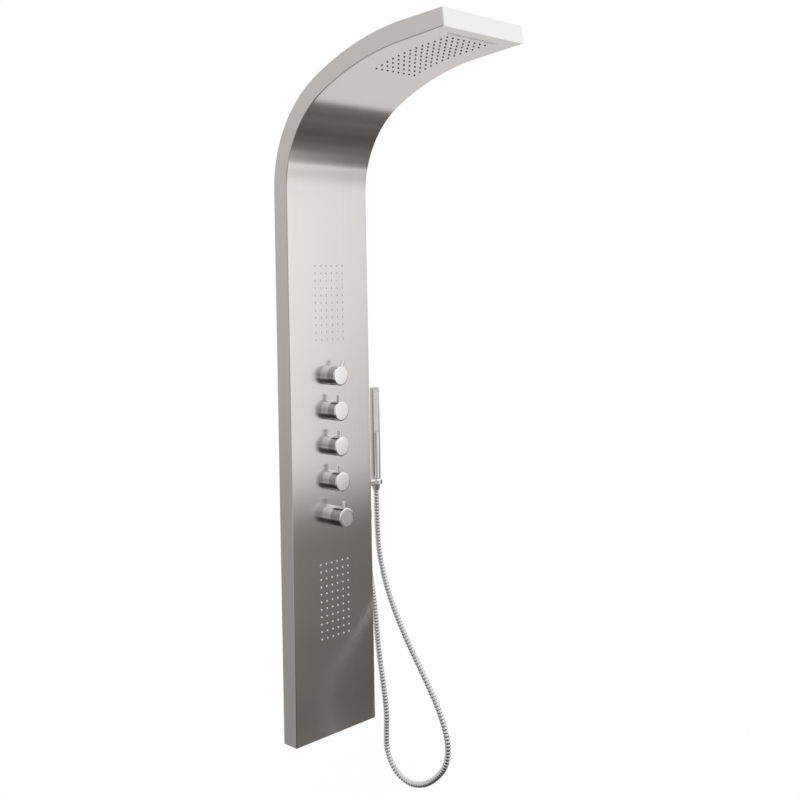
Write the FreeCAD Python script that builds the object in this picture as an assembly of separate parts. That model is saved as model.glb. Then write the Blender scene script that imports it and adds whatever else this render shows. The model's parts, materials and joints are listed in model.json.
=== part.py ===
"""Wall-hung shower panel column: folded steel column with an arched rain head,
five knobs, a stick handset in a side holder and a ribbed hose.

Millimetres. Z is up, the wall is the plane Y = 0 and the user stands at -Y.
The origin is the centre of the screw pattern of the upper wall bracket.
"""
import FreeCAD, Part
import math
import os
from FreeCAD import Vector

# ---- folded column and arch ----------------------------------------------------
panel_width = 250.0
panel_depth = 42.0            # wall to front face
sheet = 1.5                   # steel of the front panel
fold_radius = 2.5             # outside radius of the two long folds
column_height = 1250.0        # bottom edge to the start of the arch
bracket_height = 1150.0       # bottom edge to the upper bracket screws
bend_radius = 225.0           # lower, tight part of the arch
bend_angle = 61.6
sweep_radius = 614.0          # upper, slow part of the arch
sweep_angle = 23.1
head_straight = 120.0         # flat end of the head
head_thickness = 38.0         # the flanges taper to this at the tip
cover_sheet = 1.2             # back cover of the arch
cover_start_height = 50.0     # its lower edge above the upper bracket screws
cap_plate = 3.0               # polished plate that closes the head
cap_spigot = 8.0
cap_spigot_wall = 3.0
bottom_rim = 12.0
drain_half_width = 20.0       # notch of the bottom cap at the wall
drain_depth = 8.0
fit_clearance = 0.1           # between pieces that seat in each other
slot_clearance = 0.3          # round what passes through the sheet
overshoot = 1.0               # cuts run this far past a surface

# ---- hanging on the wall -------------------------------------------------------
bracket_sheet = 2.0
bracket_width = 160.0
bracket_drop = 22.0           # wall plate below its screws
bracket_rise = 14.0           # top of its shelf above the screws
bracket_reach = 10.0          # wall to the outside of its lip
lip_height = 12.0
screw_spacing = 120.0
screw_hole_radius = 3.0
hook_drop = 20.0              # height of the hanger's hook above the shelf
hook_clearance = 0.5
hanger_front_drop = 24.0
lower_bracket_rise = 150.0    # bottom edge to the lower bracket screws

# ---- spray fields --------------------------------------------------------------
nozzle_pitch = 17.0
nozzle_radius = 1.9           # corners of the silicone tip
nozzle_clearance = 0.4
nozzle_sides = 6
nozzle_height = 1.5           # tip proud of the steel
mat_thickness = 3.0
mat_margin = 7.0
box_depth = 10.0
box_wall = 2.5
inlet_width = 18.0
inlet_length = 18.0
rain_columns = 8
rain_rows = 13
rain_tip_distance = 47.0      # last row to the tip
jet_columns = 6
jet_rows = 11
upper_jet_height = -156.0     # centres of the two body-jet fields
lower_jet_height = -840.0

# ---- waterfall -----------------------------------------------------------------
slot_length = 150.0
slot_width = 8.0
slot_tip_distance = 30.0
spout_flange = 5.0            # flange round the slot, behind the steel
spout_proud = 0.6
slit_width = 2.5

# ---- valves and knobs ----------------------------------------------------------
top_knob_height = -324.0
knob_pitch = 81.0
volume_knobs = 4
knob_radius = 22.5
knob_wall = 2.5
knob_front = 3.0
knob_chamfer = 3.0
knob_length = 35.0            # face of a volume knob from the panel
thermostat_length = 45.0
sleeve_length = 12.0
thermostat_sleeve_length = 15.0
sleeve_wall = 2.0
turning_gap = 0.3
peg_radius = 4.5
peg_length = 14.0
peg_chamfer = 0.8
peg_stem_radius = 2.5
peg_setback = 10.0            # peg axis behind the knob's face
first_knob_turn = 25.0        # the top knob stands partly open
neck_radius = 12.0
neck_length = 10.0            # valve neck in front of the panel
boss_radius = 16.0
bore_radius = 9.0
bore_end_gap = 2.0            # behind the cartridge
cartridge_depth = 26.0
collar_radius = 11.0
collar_thickness = 2.0
spindle_radius = 4.0
spindle_depth = 14.0
hub_radius = 7.0
hub_floor = 4.0               # knob face to the end of its spindle
hub_setback = 3.0             # hub end inside the back edge of the knob
nut_thickness = 5.0
nut_radius = 18.5
manifold_half_width = 17.0
manifold_front = 34.0         # distances of its two sides from the wall
manifold_back = 4.0
manifold_end = 25.0           # brass beyond the first and last valve axis
port_block_height = 20.0
inlet_block_height = 16.0
boss_overlap = 1.0            # joined solids of one casting overlap by this
riser_offset = 24.0           # rain and waterfall hoses left and right of centre
riser_radius = 5.5
riser_sides = 8
hose_gap = 0.5
inlet_offset = 40.0           # hot and cold connections
inlet_depth = 19.0            # their axis from the wall
inlet_thread_radius = 10.48   # G1/2
inlet_thread_length = 16.0
inlet_bore = 7.0
inlet_collar_radius = 15.0
inlet_collar_height = 6.0
check_valve_height = 8.0

# ---- handset, holder and hose --------------------------------------------------
handset_reach = 40.0          # side flange to the handset's axis
handset_depth = 18.0          # axis from the wall
handset_radius = 11.75
handset_bottom = -585.0
handset_length = 220.0
handset_bore = 6.0
handset_edge = 1.5            # bevel round its top
handset_crown = 10.0          # solid top above the bore
flat_run = 4.0                # the flat runs on below the spray plate
handset_flat = 9.5            # spray flat from the axis
spray_length = 98.0
spray_plate = 2.5
spray_plate_width = 12.0
spray_plate_proud = 0.4
spray_tip_radius = 1.2
spray_tip_height = 1.4
spray_port_half = 1.5         # slot that feeds the plate from the bore
spray_port_inset = 20.0
spray_margin = 7.0
spray_rows = 11
spray_pitch = 8.0
spray_turn = 24.0             # the spray face turns this far towards the middle
cone_length = 29.0
cone_end_radius = 8.5
cone_clearance = 0.3
holder_top = -587.0
holder_height = 15.0
holder_arm_half = 11.0
holder_ring_radius = 16.0
holder_slot = 15.5
holder_bevel = 3.0
bolt_radius = 4.0
bolt_depth = 16.0
bolt_head_radius = 7.0
bolt_head_height = 5.0
outlet_reach = 15.0           # side flange to the nipple's axis
outlet_depth = 12.0
outlet_height = -640.0
outlet_radius = 9.5
outlet_inside = 12.0          # pipe end behind the side flange
outlet_drop = 22.0
outlet_nipple = 12.0
outlet_nut_gap = 2.0          # elbow to the nut of the hose
nipple_radius = 7.8
rosette_radius = 11.5
rosette_height = 3.0
outlet_nut_flat = 11.5
end_nut_radius = 10.3
end_nut_length = 22.0
end_nut_bevel = 1.0
end_nut_bevel_height = 3.0
hose_radius = 7.0
hose_groove = 1.0
hose_bore_radius = 4.5
rib_step = 0.2                # steep side of a rib, as a share of its pitch
hose_ribs = 100
corner_share = 0.45           # share of the shorter run that an arc takes
hose_route = [
    (165, -18, -614), (165, -18, -690), (165, -24, -773), (163, -56, -864),
    (160, -114, -956), (158, -179, -1041), (156, -226, -1111), (154, -248, -1172),
    (153, -240, -1220), (152, -210, -1256), (151, -170, -1284), (150, -122, -1293),
    (149, -79, -1274), (148, -54, -1234), (147, -56, -1187), (146, -59, -1140),
    (145, -51, -1078), (142, -38, -990), (140, -31, -886), (140, -12, -779),
    (140, -12, -684),
]

# ---- worked out ----------------------------------------------------------------
half_width = panel_width / 2
handset_x = half_width + handset_reach
outlet_x = half_width + outlet_reach
bracket_pitch = bracket_height - lower_bracket_rise
inner_half = half_width - sheet
face_y = -panel_depth
box_back = sheet + mat_thickness + box_depth
riser_inset = box_back + hose_gap + riser_radius
stations = [
    (column_height, None),
    (math.radians(bend_angle) * bend_radius, bend_radius),
    (math.radians(sweep_angle) * sweep_radius, sweep_radius),
    (head_straight, None),
]
tip_distance = sum(length for length, radius in stations)
flat_distance = tip_distance - head_straight


# ---- the bent line of the face ---------------------------------------------------
def face_at(distance):
    """Point on the face line and its lean, at a distance along it from the bottom."""
    y, z, lean = face_y, -bracket_height, 0.0
    for number, (length, radius) in enumerate(stations):
        last = number == len(stations) - 1
        step = distance if last else min(distance, length)
        if radius is None:
            y -= step * math.sin(lean)
            z += step * math.cos(lean)
        else:
            turn = step / radius
            y += radius * (math.cos(lean + turn) - math.cos(lean))
            z += radius * (math.sin(lean + turn) - math.sin(lean))
            lean += turn
        distance -= step
        if distance <= 0:
            break
    return y, z, lean


def bent_point(x, distance, inset):
    """Point behind the face line by inset, measured square to the face."""
    y, z, lean = face_at(distance)
    return Vector(x, y + inset * math.cos(lean), z + inset * math.sin(lean))


def bent_edges(x, start, end, inset, end_inset=None):
    """Edges of the line at one inset; end_inset tapers its flat last stretch."""
    edges = []
    passed = 0.0
    for number, (length, radius) in enumerate(stations):
        last = number == len(stations) - 1
        low = max(start, passed) if number else start
        high = end if last else min(end, passed + length)
        passed += length
        if high <= low:
            continue
        high_inset = end_inset if last and end_inset is not None else inset
        first = edges[-1].Vertexes[-1].Point if edges else bent_point(x, low, inset)
        final = bent_point(x, high, high_inset)
        if radius is None:
            edges.append(Part.makeLine(first, final))
        else:
            middle = bent_point(x, (low + high) / 2, inset)
            edges.append(Part.Arc(first, middle, final).toShape())
    return edges


def bent_slab(start, end, near, far, low_x, high_x, near_end=None, far_end=None):
    """Solid between two insets along the face line, from low_x to high_x."""
    front = bent_edges(low_x, start, end, near, near_end)
    back = bent_edges(low_x, start, end, far, far_end)
    top = Part.makeLine(front[-1].Vertexes[-1].Point, back[-1].Vertexes[-1].Point)
    bottom = Part.makeLine(front[0].Vertexes[0].Point, back[0].Vertexes[0].Point)
    outline = Part.Wire(Part.__sortEdges__(front + [top] + back + [bottom]))
    return Part.Face(outline).extrude(Vector(high_x - low_x, 0, 0))


def bent_prism(x, distance, radius, near, far, sides):
    """Small prism square to the face, between two insets."""
    lean = face_at(distance)[2]
    along = Vector(0, -math.sin(lean), math.cos(lean))
    centre = bent_point(x, distance, near)
    points = []
    for number in range(sides):
        angle = 2 * math.pi * number / sides
        across = Vector(radius * math.cos(angle), 0, 0)
        points.append(centre + across + along * (radius * math.sin(angle)))
    outline = Part.makePolygon(points + points[:1])
    inward = bent_point(x, distance, far) - centre
    return Part.Face(outline).extrude(inward)


# ---- plain solids ----------------------------------------------------------------
def block(low, high):
    """Box between two corners."""
    size = [high[axis] - low[axis] for axis in range(3)]
    return Part.makeBox(size[0], size[1], size[2], Vector(*low))


def rod(radius, start, end):
    """Cylinder between two points."""
    start, end = Vector(*start), Vector(*end)
    way = end - start
    return Part.makeCylinder(radius, way.Length, start, way)


def polygon_rod(sides, radius, start, end, turn=0.0):
    """Prism between two points on a line along X, Y or Z."""
    start, end = Vector(*start), Vector(*end)
    way = end - start
    first = Vector(0, 0, 1) if abs(way.z) < way.Length / 2 else Vector(1, 0, 0)
    second = way.cross(first).normalize()
    points = []
    for number in range(sides):
        angle = 2 * math.pi * number / sides + math.radians(turn)
        offset = first * math.cos(angle) + second * math.sin(angle)
        points.append(start + offset * radius)
    return Part.Face(Part.makePolygon(points + points[:1])).extrude(way)


def turned(outline, base, axis):
    """Solid of revolution: outline holds (radius, distance along the axis from base)."""
    base, axis = Vector(*base), Vector(*axis)
    side = Vector(1, 0, 0) if abs(axis.x) < 0.5 else Vector(0, 0, 1)
    points = [base + side * radius + axis * along for radius, along in outline]
    face = Part.Face(Part.makePolygon(points + points[:1]))
    return face.revolve(base, axis, 360)


def group(solids):
    """Several separate solids as one node."""
    return Part.makeCompound(solids)


# ---- folded sheet work -----------------------------------------------------------
def fold_edges(solid):
    """The long outside edges along which the front face folds into the flanges."""
    found = []
    for edge in solid.Edges:
        middle = edge.valueAt((edge.FirstParameter + edge.LastParameter) / 2)
        ends = [vertex.Point for vertex in edge.Vertexes]
        at_side = all(abs(abs(point.x) - half_width) < 0.01 for point in ends)
        if at_side and ends[0].distanceToPoint(ends[1]) > panel_depth * 1.2 and on_face(middle):
            found.append(edge)
    return found


def on_face(point):
    """True when a point lies on the outside of the face line."""
    low, high = 0.0, tip_distance
    for _ in range(60):
        third = (high - low) / 3
        near = bent_point(point.x, low + third, 0).distanceToPoint(point)
        far = bent_point(point.x, high - third, 0).distanceToPoint(point)
        if near < far:
            high -= third
        else:
            low += third
    return bent_point(point.x, (low + high) / 2, 0).distanceToPoint(point) < 0.05


def field_points(columns, rows, first_distance):
    """Nozzle places of one field: (x, distance along the face line)."""
    left = -(columns - 1) * nozzle_pitch / 2
    return [
        (left + column * nozzle_pitch, first_distance + row * nozzle_pitch)
        for row in range(rows)
        for column in range(columns)
    ]


def jet_first_distance(height):
    """Distance of the lowest row of a body-jet field centred at a height."""
    return height + bracket_height - (jet_rows - 1) * nozzle_pitch / 2


rain_first_distance = tip_distance - rain_tip_distance - (rain_rows - 1) * nozzle_pitch
fields = {
    "rain": (rain_columns, rain_rows, rain_first_distance),
    "upper_jet": (jet_columns, jet_rows, jet_first_distance(upper_jet_height)),
    "lower_jet": (jet_columns, jet_rows, jet_first_distance(lower_jet_height)),
}
knob_heights = [top_knob_height - knob_pitch * number for number in range(volume_knobs + 1)]
thermostat_height = knob_heights[-1]
holder_axis_height = holder_top - holder_height / 2


def front_panel():
    """One folded sheet: column face, arch, head underside and both side flanges."""
    shell = bent_slab(0, tip_distance, 0, panel_depth, -half_width, half_width, far_end=head_thickness)
    shell = shell.makeFillet(fold_radius, fold_edges(shell))
    room = bent_slab(-overshoot, tip_distance + overshoot, sheet, panel_depth + overshoot,
                     -inner_half, inner_half)
    hole_radius = nozzle_radius + nozzle_clearance
    cuts = [room]
    for columns, rows, first in fields.values():
        for x, distance in field_points(columns, rows, first):
            cuts.append(bent_prism(x, distance, hole_radius, -overshoot, sheet + overshoot, nozzle_sides))
    for height in knob_heights:
        cuts.append(rod(neck_radius + slot_clearance, (0, face_y - overshoot, height),
                        (0, face_y + sheet + overshoot, height)))
    slot_middle = tip_distance - slot_tip_distance
    cuts.append(bent_slab(slot_middle - slot_width / 2, slot_middle + slot_width / 2, -overshoot,
                          sheet + overshoot, -slot_length / 2, slot_length / 2))
    inside, outside = inner_half - overshoot, half_width + overshoot
    cuts.append(rod(bolt_radius + fit_clearance, (inside, -handset_depth, holder_axis_height),
                    (outside, -handset_depth, holder_axis_height)))
    cuts.append(rod(outlet_radius + slot_clearance, (inside, -outlet_depth, outlet_height),
                    (outside, -outlet_depth, outlet_height)))
    return shell.cut(cuts)


def arm_cover():
    """Sheet that closes the back of the arch and the top of the head."""
    start = cover_start_height + bracket_height
    return bent_slab(start, tip_distance, panel_depth - cover_sheet, panel_depth, -inner_half, inner_half,
                     head_thickness - cover_sheet, head_thickness)


def head_end_cap():
    """Polished plate on the tip, with a spigot that plugs into the folded sheet."""
    plate = bent_slab(tip_distance, tip_distance + cap_plate, 0, head_thickness, -half_width, half_width)
    near, far = sheet, head_thickness - cover_sheet - slot_clearance
    spigot = bent_slab(tip_distance - cap_spigot, tip_distance, near, far, -inner_half, inner_half)
    wall = cap_spigot_wall
    hollow = bent_slab(tip_distance - cap_spigot - overshoot, tip_distance, near + wall, far - wall,
                       wall - inner_half, inner_half - wall)
    return plate.fuse(spigot.cut(hollow)).removeSplitter()


def bottom_cap():
    """Tray that closes the lower end, with a notch for drainage at the wall."""
    low = -bracket_height
    tray = block((-inner_half, face_y + sheet, low), (inner_half, 0, low + bottom_rim))
    tray = tray.cut(block((-inner_half + sheet, face_y + 2 * sheet, low + sheet),
                          (inner_half - sheet, -sheet, low + bottom_rim + overshoot)))
    return tray.cut(block((-drain_half_width, -drain_depth, low - overshoot),
                          (drain_half_width, overshoot, low + bottom_rim + overshoot)))


def wall_bracket(height):
    """Plate screwed to the wall, with a shelf and an upturned lip."""
    half = bracket_width / 2
    plate = block((-half, -bracket_sheet, height - bracket_drop), (half, 0, height + bracket_rise))
    shelf = block((-half, -bracket_reach, height + bracket_rise - bracket_sheet),
                  (half, 0, height + bracket_rise))
    lip = block((-half, -bracket_reach, height + bracket_rise - bracket_sheet),
                (half, bracket_sheet - bracket_reach, height + bracket_rise + lip_height))
    bracket = plate.fuse([shelf, lip]).removeSplitter()
    holes = [rod(screw_hole_radius, (x, -bracket_sheet - overshoot, height), (x, overshoot, height))
             for x in (-screw_spacing / 2, screw_spacing / 2)]
    return bracket.cut(holes)


def hanger_bar(height):
    """Bar welded between the flanges; its hook stands on the shelf behind the lip."""
    seat = height + bracket_rise
    top = seat + hook_drop
    hook_front = bracket_sheet - bracket_reach + hook_clearance
    hook = block((-inner_half, hook_front, seat), (inner_half, hook_front + bracket_sheet, top))
    front = -bracket_reach - hook_clearance
    web = block((-inner_half, front - bracket_sheet, top - bracket_sheet),
                (inner_half, hook_front + bracket_sheet, top))
    face = block((-inner_half, front - bracket_sheet, top - hanger_front_drop), (inner_half, front, top))
    return hook.fuse([web, face]).removeSplitter()


# ---- water ways ------------------------------------------------------------------
def field_extent(field):
    """Half width, start and end distance of the mat behind one spray field."""
    columns, rows, first = fields[field]
    half = (columns - 1) * nozzle_pitch / 2 + mat_margin
    return half, first - mat_margin, first + (rows - 1) * nozzle_pitch + mat_margin


def spray_mat(field):
    """Silicone mat behind the steel, with one tip through each hole."""
    half, start, end = field_extent(field)
    mat = bent_slab(start, end, sheet, sheet + mat_thickness, -half, half)
    tips = [bent_prism(x, distance, nozzle_radius, -nozzle_height, sheet + mat_thickness / 2, nozzle_sides)
            for x, distance in field_points(*fields[field])]
    return mat.fuse(tips)


def spray_box(field, inlet_x, inlet_at_start):
    """Tray clamped over a mat, with a raised hose inlet at one end."""
    half, start, end = field_extent(field)
    near = sheet + mat_thickness
    tray = bent_slab(start, end, near, box_back, -half, half)
    hollow = bent_slab(start + box_wall, end - box_wall, near - overshoot, box_back - box_wall,
                       box_wall - half, half - box_wall)
    low = start if inlet_at_start else end - inlet_length
    hump = bent_slab(low, low + inlet_length, box_back - boss_overlap, riser_inset + riser_radius,
                     inlet_x - inlet_width / 2, inlet_x + inlet_width / 2)
    return tray.fuse(hump).cut(hollow)


def waterfall_spout():
    """Moulded nozzle bar: lip through the slot, thin slit, chamber and hose inlet."""
    middle = tip_distance - slot_tip_distance
    lip_half = slot_width / 2 - slot_clearance
    lip = bent_slab(middle - lip_half, middle + lip_half, -spout_proud, sheet + boss_overlap,
                    slot_clearance - slot_length / 2, slot_length / 2 - slot_clearance)
    half = slot_length / 2 + spout_flange
    start = middle - slot_width / 2 - spout_flange
    end = middle + slot_width / 2 + spout_flange
    body = bent_slab(start, end, sheet, box_back, -half, half)
    room = bent_slab(start + box_wall, end - box_wall, sheet + box_wall, box_back - box_wall,
                     box_wall - half, half - box_wall)
    slit_half = slot_length / 2 - 2 * box_wall
    slit = bent_slab(middle - slit_width / 2, middle + slit_width / 2, -spout_proud - overshoot,
                     sheet + box_wall + overshoot, -slit_half, slit_half)
    hump = bent_slab(start, start + inlet_length, box_back - boss_overlap, riser_inset + riser_radius,
                     riser_offset - inlet_width / 2, riser_offset + inlet_width / 2)
    return body.fuse([lip, hump]).cut([room, slit])


def riser(x, end):
    """Flexible hose from the top of the manifold along the channel."""
    start = top_knob_height + manifold_end + bracket_height
    path = Part.Wire(bent_edges(x, start, end, riser_inset))
    centre = bent_point(x, start, riser_inset)
    points = []
    for number in range(riser_sides):
        angle = 2 * math.pi * (number + 0.5) / riser_sides
        offset = Vector(math.cos(angle), math.sin(angle), 0) * riser_radius
        points.append(centre + offset)
    return path.makePipeShell([Part.makePolygon(points + points[:1])], True, True)


def jet_hose(start, end):
    """Short straight hose between the manifold and a body-jet box."""
    y = face_y + riser_inset
    return rod(riser_radius, (0, y, start), (0, y, end))


def handset_feed():
    """Short hose from the manifold to the outlet elbow on the side flange."""
    start = (manifold_half_width, -outlet_depth, outlet_height)
    return rod(riser_radius, start, (inner_half - outlet_inside, -outlet_depth, outlet_height))


# ---- valves ----------------------------------------------------------------------
def valve_manifold():
    """Brass body: bar, port blocks and one bored neck per valve."""
    top = top_knob_height + manifold_end
    bottom = thermostat_height - manifold_end
    bar = block((-manifold_half_width, -manifold_front, bottom),
                (manifold_half_width, -manifold_back, top))
    top_half = riser_offset + riser_radius + box_wall
    top_block = block((-top_half, -manifold_front, top - port_block_height),
                      (top_half, -manifold_back, top))
    inlet_half = inlet_offset + inlet_collar_radius
    inlet_block = block((-inlet_half, -manifold_front, bottom),
                        (inlet_half, -manifold_back, bottom + inlet_block_height))
    inner_y = face_y + sheet
    tip_y = face_y - neck_length
    parts = [top_block, inlet_block]
    bores = []
    for height in knob_heights:
        parts.append(rod(boss_radius, (0, boss_overlap - manifold_front, height), (0, inner_y, height)))
        parts.append(rod(neck_radius, (0, inner_y + boss_overlap, height), (0, tip_y, height)))
        bores.append(rod(bore_radius, (0, tip_y - overshoot, height),
                         (0, tip_y + cartridge_depth + bore_end_gap, height)))
    return bar.fuse(parts).cut(bores).removeSplitter()


def cartridge(height):
    """Ceramic valve cartridge: body in the bore, collar on the neck, spindle bore."""
    front = face_y - neck_length
    body = bore_radius - fit_clearance
    hole = spindle_radius + fit_clearance
    outline = [(hole, -collar_thickness), (collar_radius, -collar_thickness), (collar_radius, 0),
               (body, 0), (body, cartridge_depth), (0, cartridge_depth), (0, spindle_depth),
               (hole, spindle_depth)]
    return turned(outline, (0, front, height), (0, 1, 0))


def lock_nut(height):
    """Hexagon nut that clamps the panel against the valve's boss."""
    front = face_y - nut_thickness
    nut = polygon_rod(6, nut_radius, (0, front, height), (0, face_y, height))
    return nut.cut(rod(neck_radius + fit_clearance, (0, front - overshoot, height),
                       (0, face_y + overshoot, height)))


def sleeve(height, length):
    """Fixed ring between the panel and a knob, with a web on the valve's neck."""
    front = face_y - length
    inner = knob_radius - sleeve_wall
    web = face_y - neck_length - front
    hole = collar_radius + fit_clearance
    outline = [(hole, 0), (knob_radius, 0), (knob_radius, length), (inner, length), (inner, web),
               (hole, web)]
    return turned(outline, (0, front, height), (0, 1, 0))


def knob_cap(height, sleeve_end, length):
    """Hollow turned knob with a hub for the spindle and a hole for its peg."""
    front = face_y - length
    back = length - sleeve_end - turning_gap
    inner = knob_radius - knob_wall
    hole = spindle_radius + fit_clearance
    hub_back = back - hub_setback
    outline = [(0, 0), (knob_radius - knob_chamfer, 0), (knob_radius, knob_chamfer), (knob_radius, back),
               (inner, back), (inner, knob_front), (hub_radius, knob_front), (hub_radius, hub_back),
               (hole, hub_back), (hole, hub_floor), (0, hub_floor)]
    cap = turned(outline, (0, front, height), (0, 1, 0))
    peg_y = front + peg_setback
    stem_hole = peg_stem_radius + fit_clearance
    return cap.cut(rod(stem_hole, (0, peg_y, height + hub_radius + overshoot),
                       (0, peg_y, height + knob_radius + overshoot)))


def peg(height, length):
    """Finger peg: its stem goes through the knob's wall onto the hub."""
    base = (0, face_y - length + peg_setback, height)
    top = knob_radius + peg_length
    outline = [(0, hub_radius), (peg_stem_radius, hub_radius), (peg_stem_radius, knob_radius),
               (peg_radius, knob_radius), (peg_radius, top - peg_chamfer),
               (peg_radius - peg_chamfer, top), (0, top)]
    return turned(outline, base, (0, 0, 1))


def spindle(height, length):
    """Shaft from the cartridge into the knob's hub."""
    back = face_y - neck_length + spindle_depth
    front = face_y - length + hub_floor
    return rod(spindle_radius, (0, back, height), (0, front, height))


def inlet_nipple(x):
    """G1/2 male connection under the manifold, bored for its check valve."""
    top = thermostat_height - manifold_end
    y = -inlet_depth
    collar = polygon_rod(6, inlet_collar_radius, (x, y, top), (x, y, top - inlet_collar_height))
    bottom = top - inlet_collar_height - inlet_thread_length
    thread = rod(inlet_thread_radius, (x, y, bottom), (x, y, top - inlet_collar_height))
    return collar.fuse(thread).cut(rod(inlet_bore, (x, y, bottom - overshoot), (x, y, top + overshoot)))


def check_valve(x):
    """Non-return insert in the bore of one inlet."""
    top = thermostat_height - manifold_end
    radius = inlet_bore - fit_clearance
    return rod(radius, (x, -inlet_depth, top - check_valve_height), (x, -inlet_depth, top))


# ---- handset side ----------------------------------------------------------------
def cone_radius_at(height):
    """Radius of the hose's cone nut at a height."""
    share = (handset_bottom - height) / cone_length
    return handset_radius + (cone_end_radius - handset_radius) * share


def turned_about_handset(shape):
    """Turn a shape about the handset's axis by the inward turn of its spray face."""
    return shape.rotate(Vector(handset_x, -handset_depth, 0), Vector(0, 0, 1), -spray_turn)


def handset_body():
    """Slim stick handset with a flat and a pocket for the spray plate."""
    base = (handset_x, -handset_depth, handset_bottom)
    top = handset_bottom + handset_length
    plate_top = top - spray_margin
    plate_low = plate_top - spray_length
    flat_y = -handset_depth - handset_flat
    outline = [(0, 0), (handset_radius, 0), (handset_radius, handset_length - handset_edge),
               (handset_radius - handset_edge, handset_length), (0, handset_length)]
    body = turned(outline, base, (0, 0, 1))
    flat = block((handset_x - handset_radius, flat_y - handset_radius, plate_low - flat_run),
                 (handset_x + handset_radius, flat_y, top + overshoot))
    half = spray_plate_width / 2 + fit_clearance
    pocket = block((handset_x - half, flat_y - overshoot, plate_low),
                   (handset_x + half, flat_y + spray_plate, plate_top))
    port = block((handset_x - spray_port_half, flat_y, plate_low + spray_port_inset),
                 (handset_x + spray_port_half, -handset_depth, plate_top - spray_port_inset))
    bore = rod(handset_bore, (base[0], base[1], handset_bottom - overshoot),
               (base[0], base[1], top - handset_crown))
    return turned_about_handset(body.cut([flat, pocket, port, bore]))


def handset_spray_plate():
    """Pale spray plate with two columns of silicone tips."""
    plate_top = handset_bottom + handset_length - spray_margin
    plate_low = plate_top - spray_length
    flat_y = -handset_depth - handset_flat
    half = spray_plate_width / 2
    plate = block((handset_x - half, flat_y - spray_plate_proud, plate_low + fit_clearance),
                  (handset_x + half, flat_y + spray_plate, plate_top - fit_clearance))
    middle = (plate_low + plate_top) / 2
    tips = []
    for row in range(spray_rows):
        z = middle + (row - (spray_rows - 1) / 2) * spray_pitch
        for x in (handset_x - half / 2, handset_x + half / 2):
            tips.append(polygon_rod(nozzle_sides, spray_tip_radius, (x, flat_y + boss_overlap, z),
                                    (x, flat_y - spray_tip_height, z)))
    return turned_about_handset(plate.fuse(tips))


def hose_cone_nut():
    """Conical nut of the hose, which rests in the holder's socket."""
    outline = [(hose_bore_radius, -cone_length), (cone_end_radius, -cone_length), (handset_radius, 0),
               (hose_bore_radius, 0)]
    return turned(outline, (handset_x, -handset_depth, handset_bottom), (0, 0, 1))


def holder_edges(solid):
    """Level edges of the holder that stand clear of the side flange."""
    found = []
    for edge in solid.Edges:
        points = [vertex.Point for vertex in edge.Vertexes]
        level = all(abs(point.z - points[0].z) < 0.01 for point in points)
        if level and max(point.x for point in points) > half_width + overshoot:
            found.append(edge)
    return found


def handset_holder():
    """Arm on the side flange with a slotted conical socket."""
    y = -handset_depth
    low = holder_top - holder_height
    arm = block((half_width, y - holder_arm_half, low), (handset_x, y + holder_arm_half, holder_top))
    ring = rod(holder_ring_radius, (handset_x, y, low), (handset_x, y, holder_top))
    holder = arm.fuse(ring).removeSplitter()
    holder = holder.makeChamfer(holder_bevel, holder_edges(holder))
    slot = block((handset_x, y - holder_slot / 2, low - overshoot),
                 (handset_x + 2 * holder_ring_radius, y + holder_slot / 2, holder_top + overshoot))
    upper = cone_radius_at(holder_top + overshoot) + cone_clearance
    lower = cone_radius_at(low - overshoot) + cone_clearance
    socket = Part.makeCone(lower, upper, holder_height + 2 * overshoot,
                           Vector(handset_x, y, low - overshoot), Vector(0, 0, 1))
    thread = rod(bolt_radius + fit_clearance, (half_width - overshoot, y, holder_axis_height),
                 (half_width + bolt_depth, y, holder_axis_height))
    return holder.cut([slot, socket, thread])


def holder_bolt():
    """Bolt from inside the channel through the flange into the holder."""
    y = -handset_depth
    head = polygon_rod(6, bolt_head_radius, (inner_half - bolt_head_height, y, holder_axis_height),
                       (inner_half, y, holder_axis_height))
    shank = rod(bolt_radius, (inner_half - boss_overlap, y, holder_axis_height),
                (half_width + bolt_depth, y, holder_axis_height))
    return head.fuse(shank)


def outlet_elbow():
    """Hose outlet: pipe through the side flange, elbow and nipple pointing down."""
    y = -outlet_depth
    corner = (outlet_x, y, outlet_height)
    elbow_end = outlet_height - outlet_drop
    pipe = rod(outlet_radius, (inner_half - outlet_inside, y, outlet_height), corner)
    rosette = rod(rosette_radius, (half_width, y, outlet_height),
                  (half_width + rosette_height, y, outlet_height))
    ball = Part.makeSphere(outlet_radius, Vector(*corner))
    drop = rod(outlet_radius, corner, (outlet_x, y, elbow_end + outlet_nut_gap))
    nipple = rod(nipple_radius, (outlet_x, y, elbow_end + outlet_nut_gap + boss_overlap),
                 (outlet_x, y, elbow_end - outlet_nipple))
    return pipe.fuse([rosette, ball, drop, nipple])


def outlet_nut():
    """Flat nut that clamps the outlet pipe to the side flange."""
    y = -outlet_depth
    radius = outlet_nut_flat / math.cos(math.pi / 6)
    back = inner_half - nut_thickness
    nut = polygon_rod(6, radius, (back, y, outlet_height), (inner_half, y, outlet_height))
    return nut.cut(rod(outlet_radius + fit_clearance, (back - overshoot, y, outlet_height),
                       (half_width, y, outlet_height)))


def hose_end_nut():
    """Nut of the hose on the outlet nipple."""
    low = hose_route[-1][2]
    top = low + end_nut_length
    seat = outlet_height - outlet_drop - outlet_nipple
    base = (outlet_x, -outlet_depth, 0)
    wide = nipple_radius + fit_clearance
    outline = [(hose_bore_radius, low), (end_nut_radius - end_nut_bevel, low),
               (end_nut_radius, low + end_nut_bevel_height), (end_nut_radius, top), (wide, top),
               (wide, seat), (hose_bore_radius, seat)]
    return turned(outline, base, (0, 0, 1))


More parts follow.
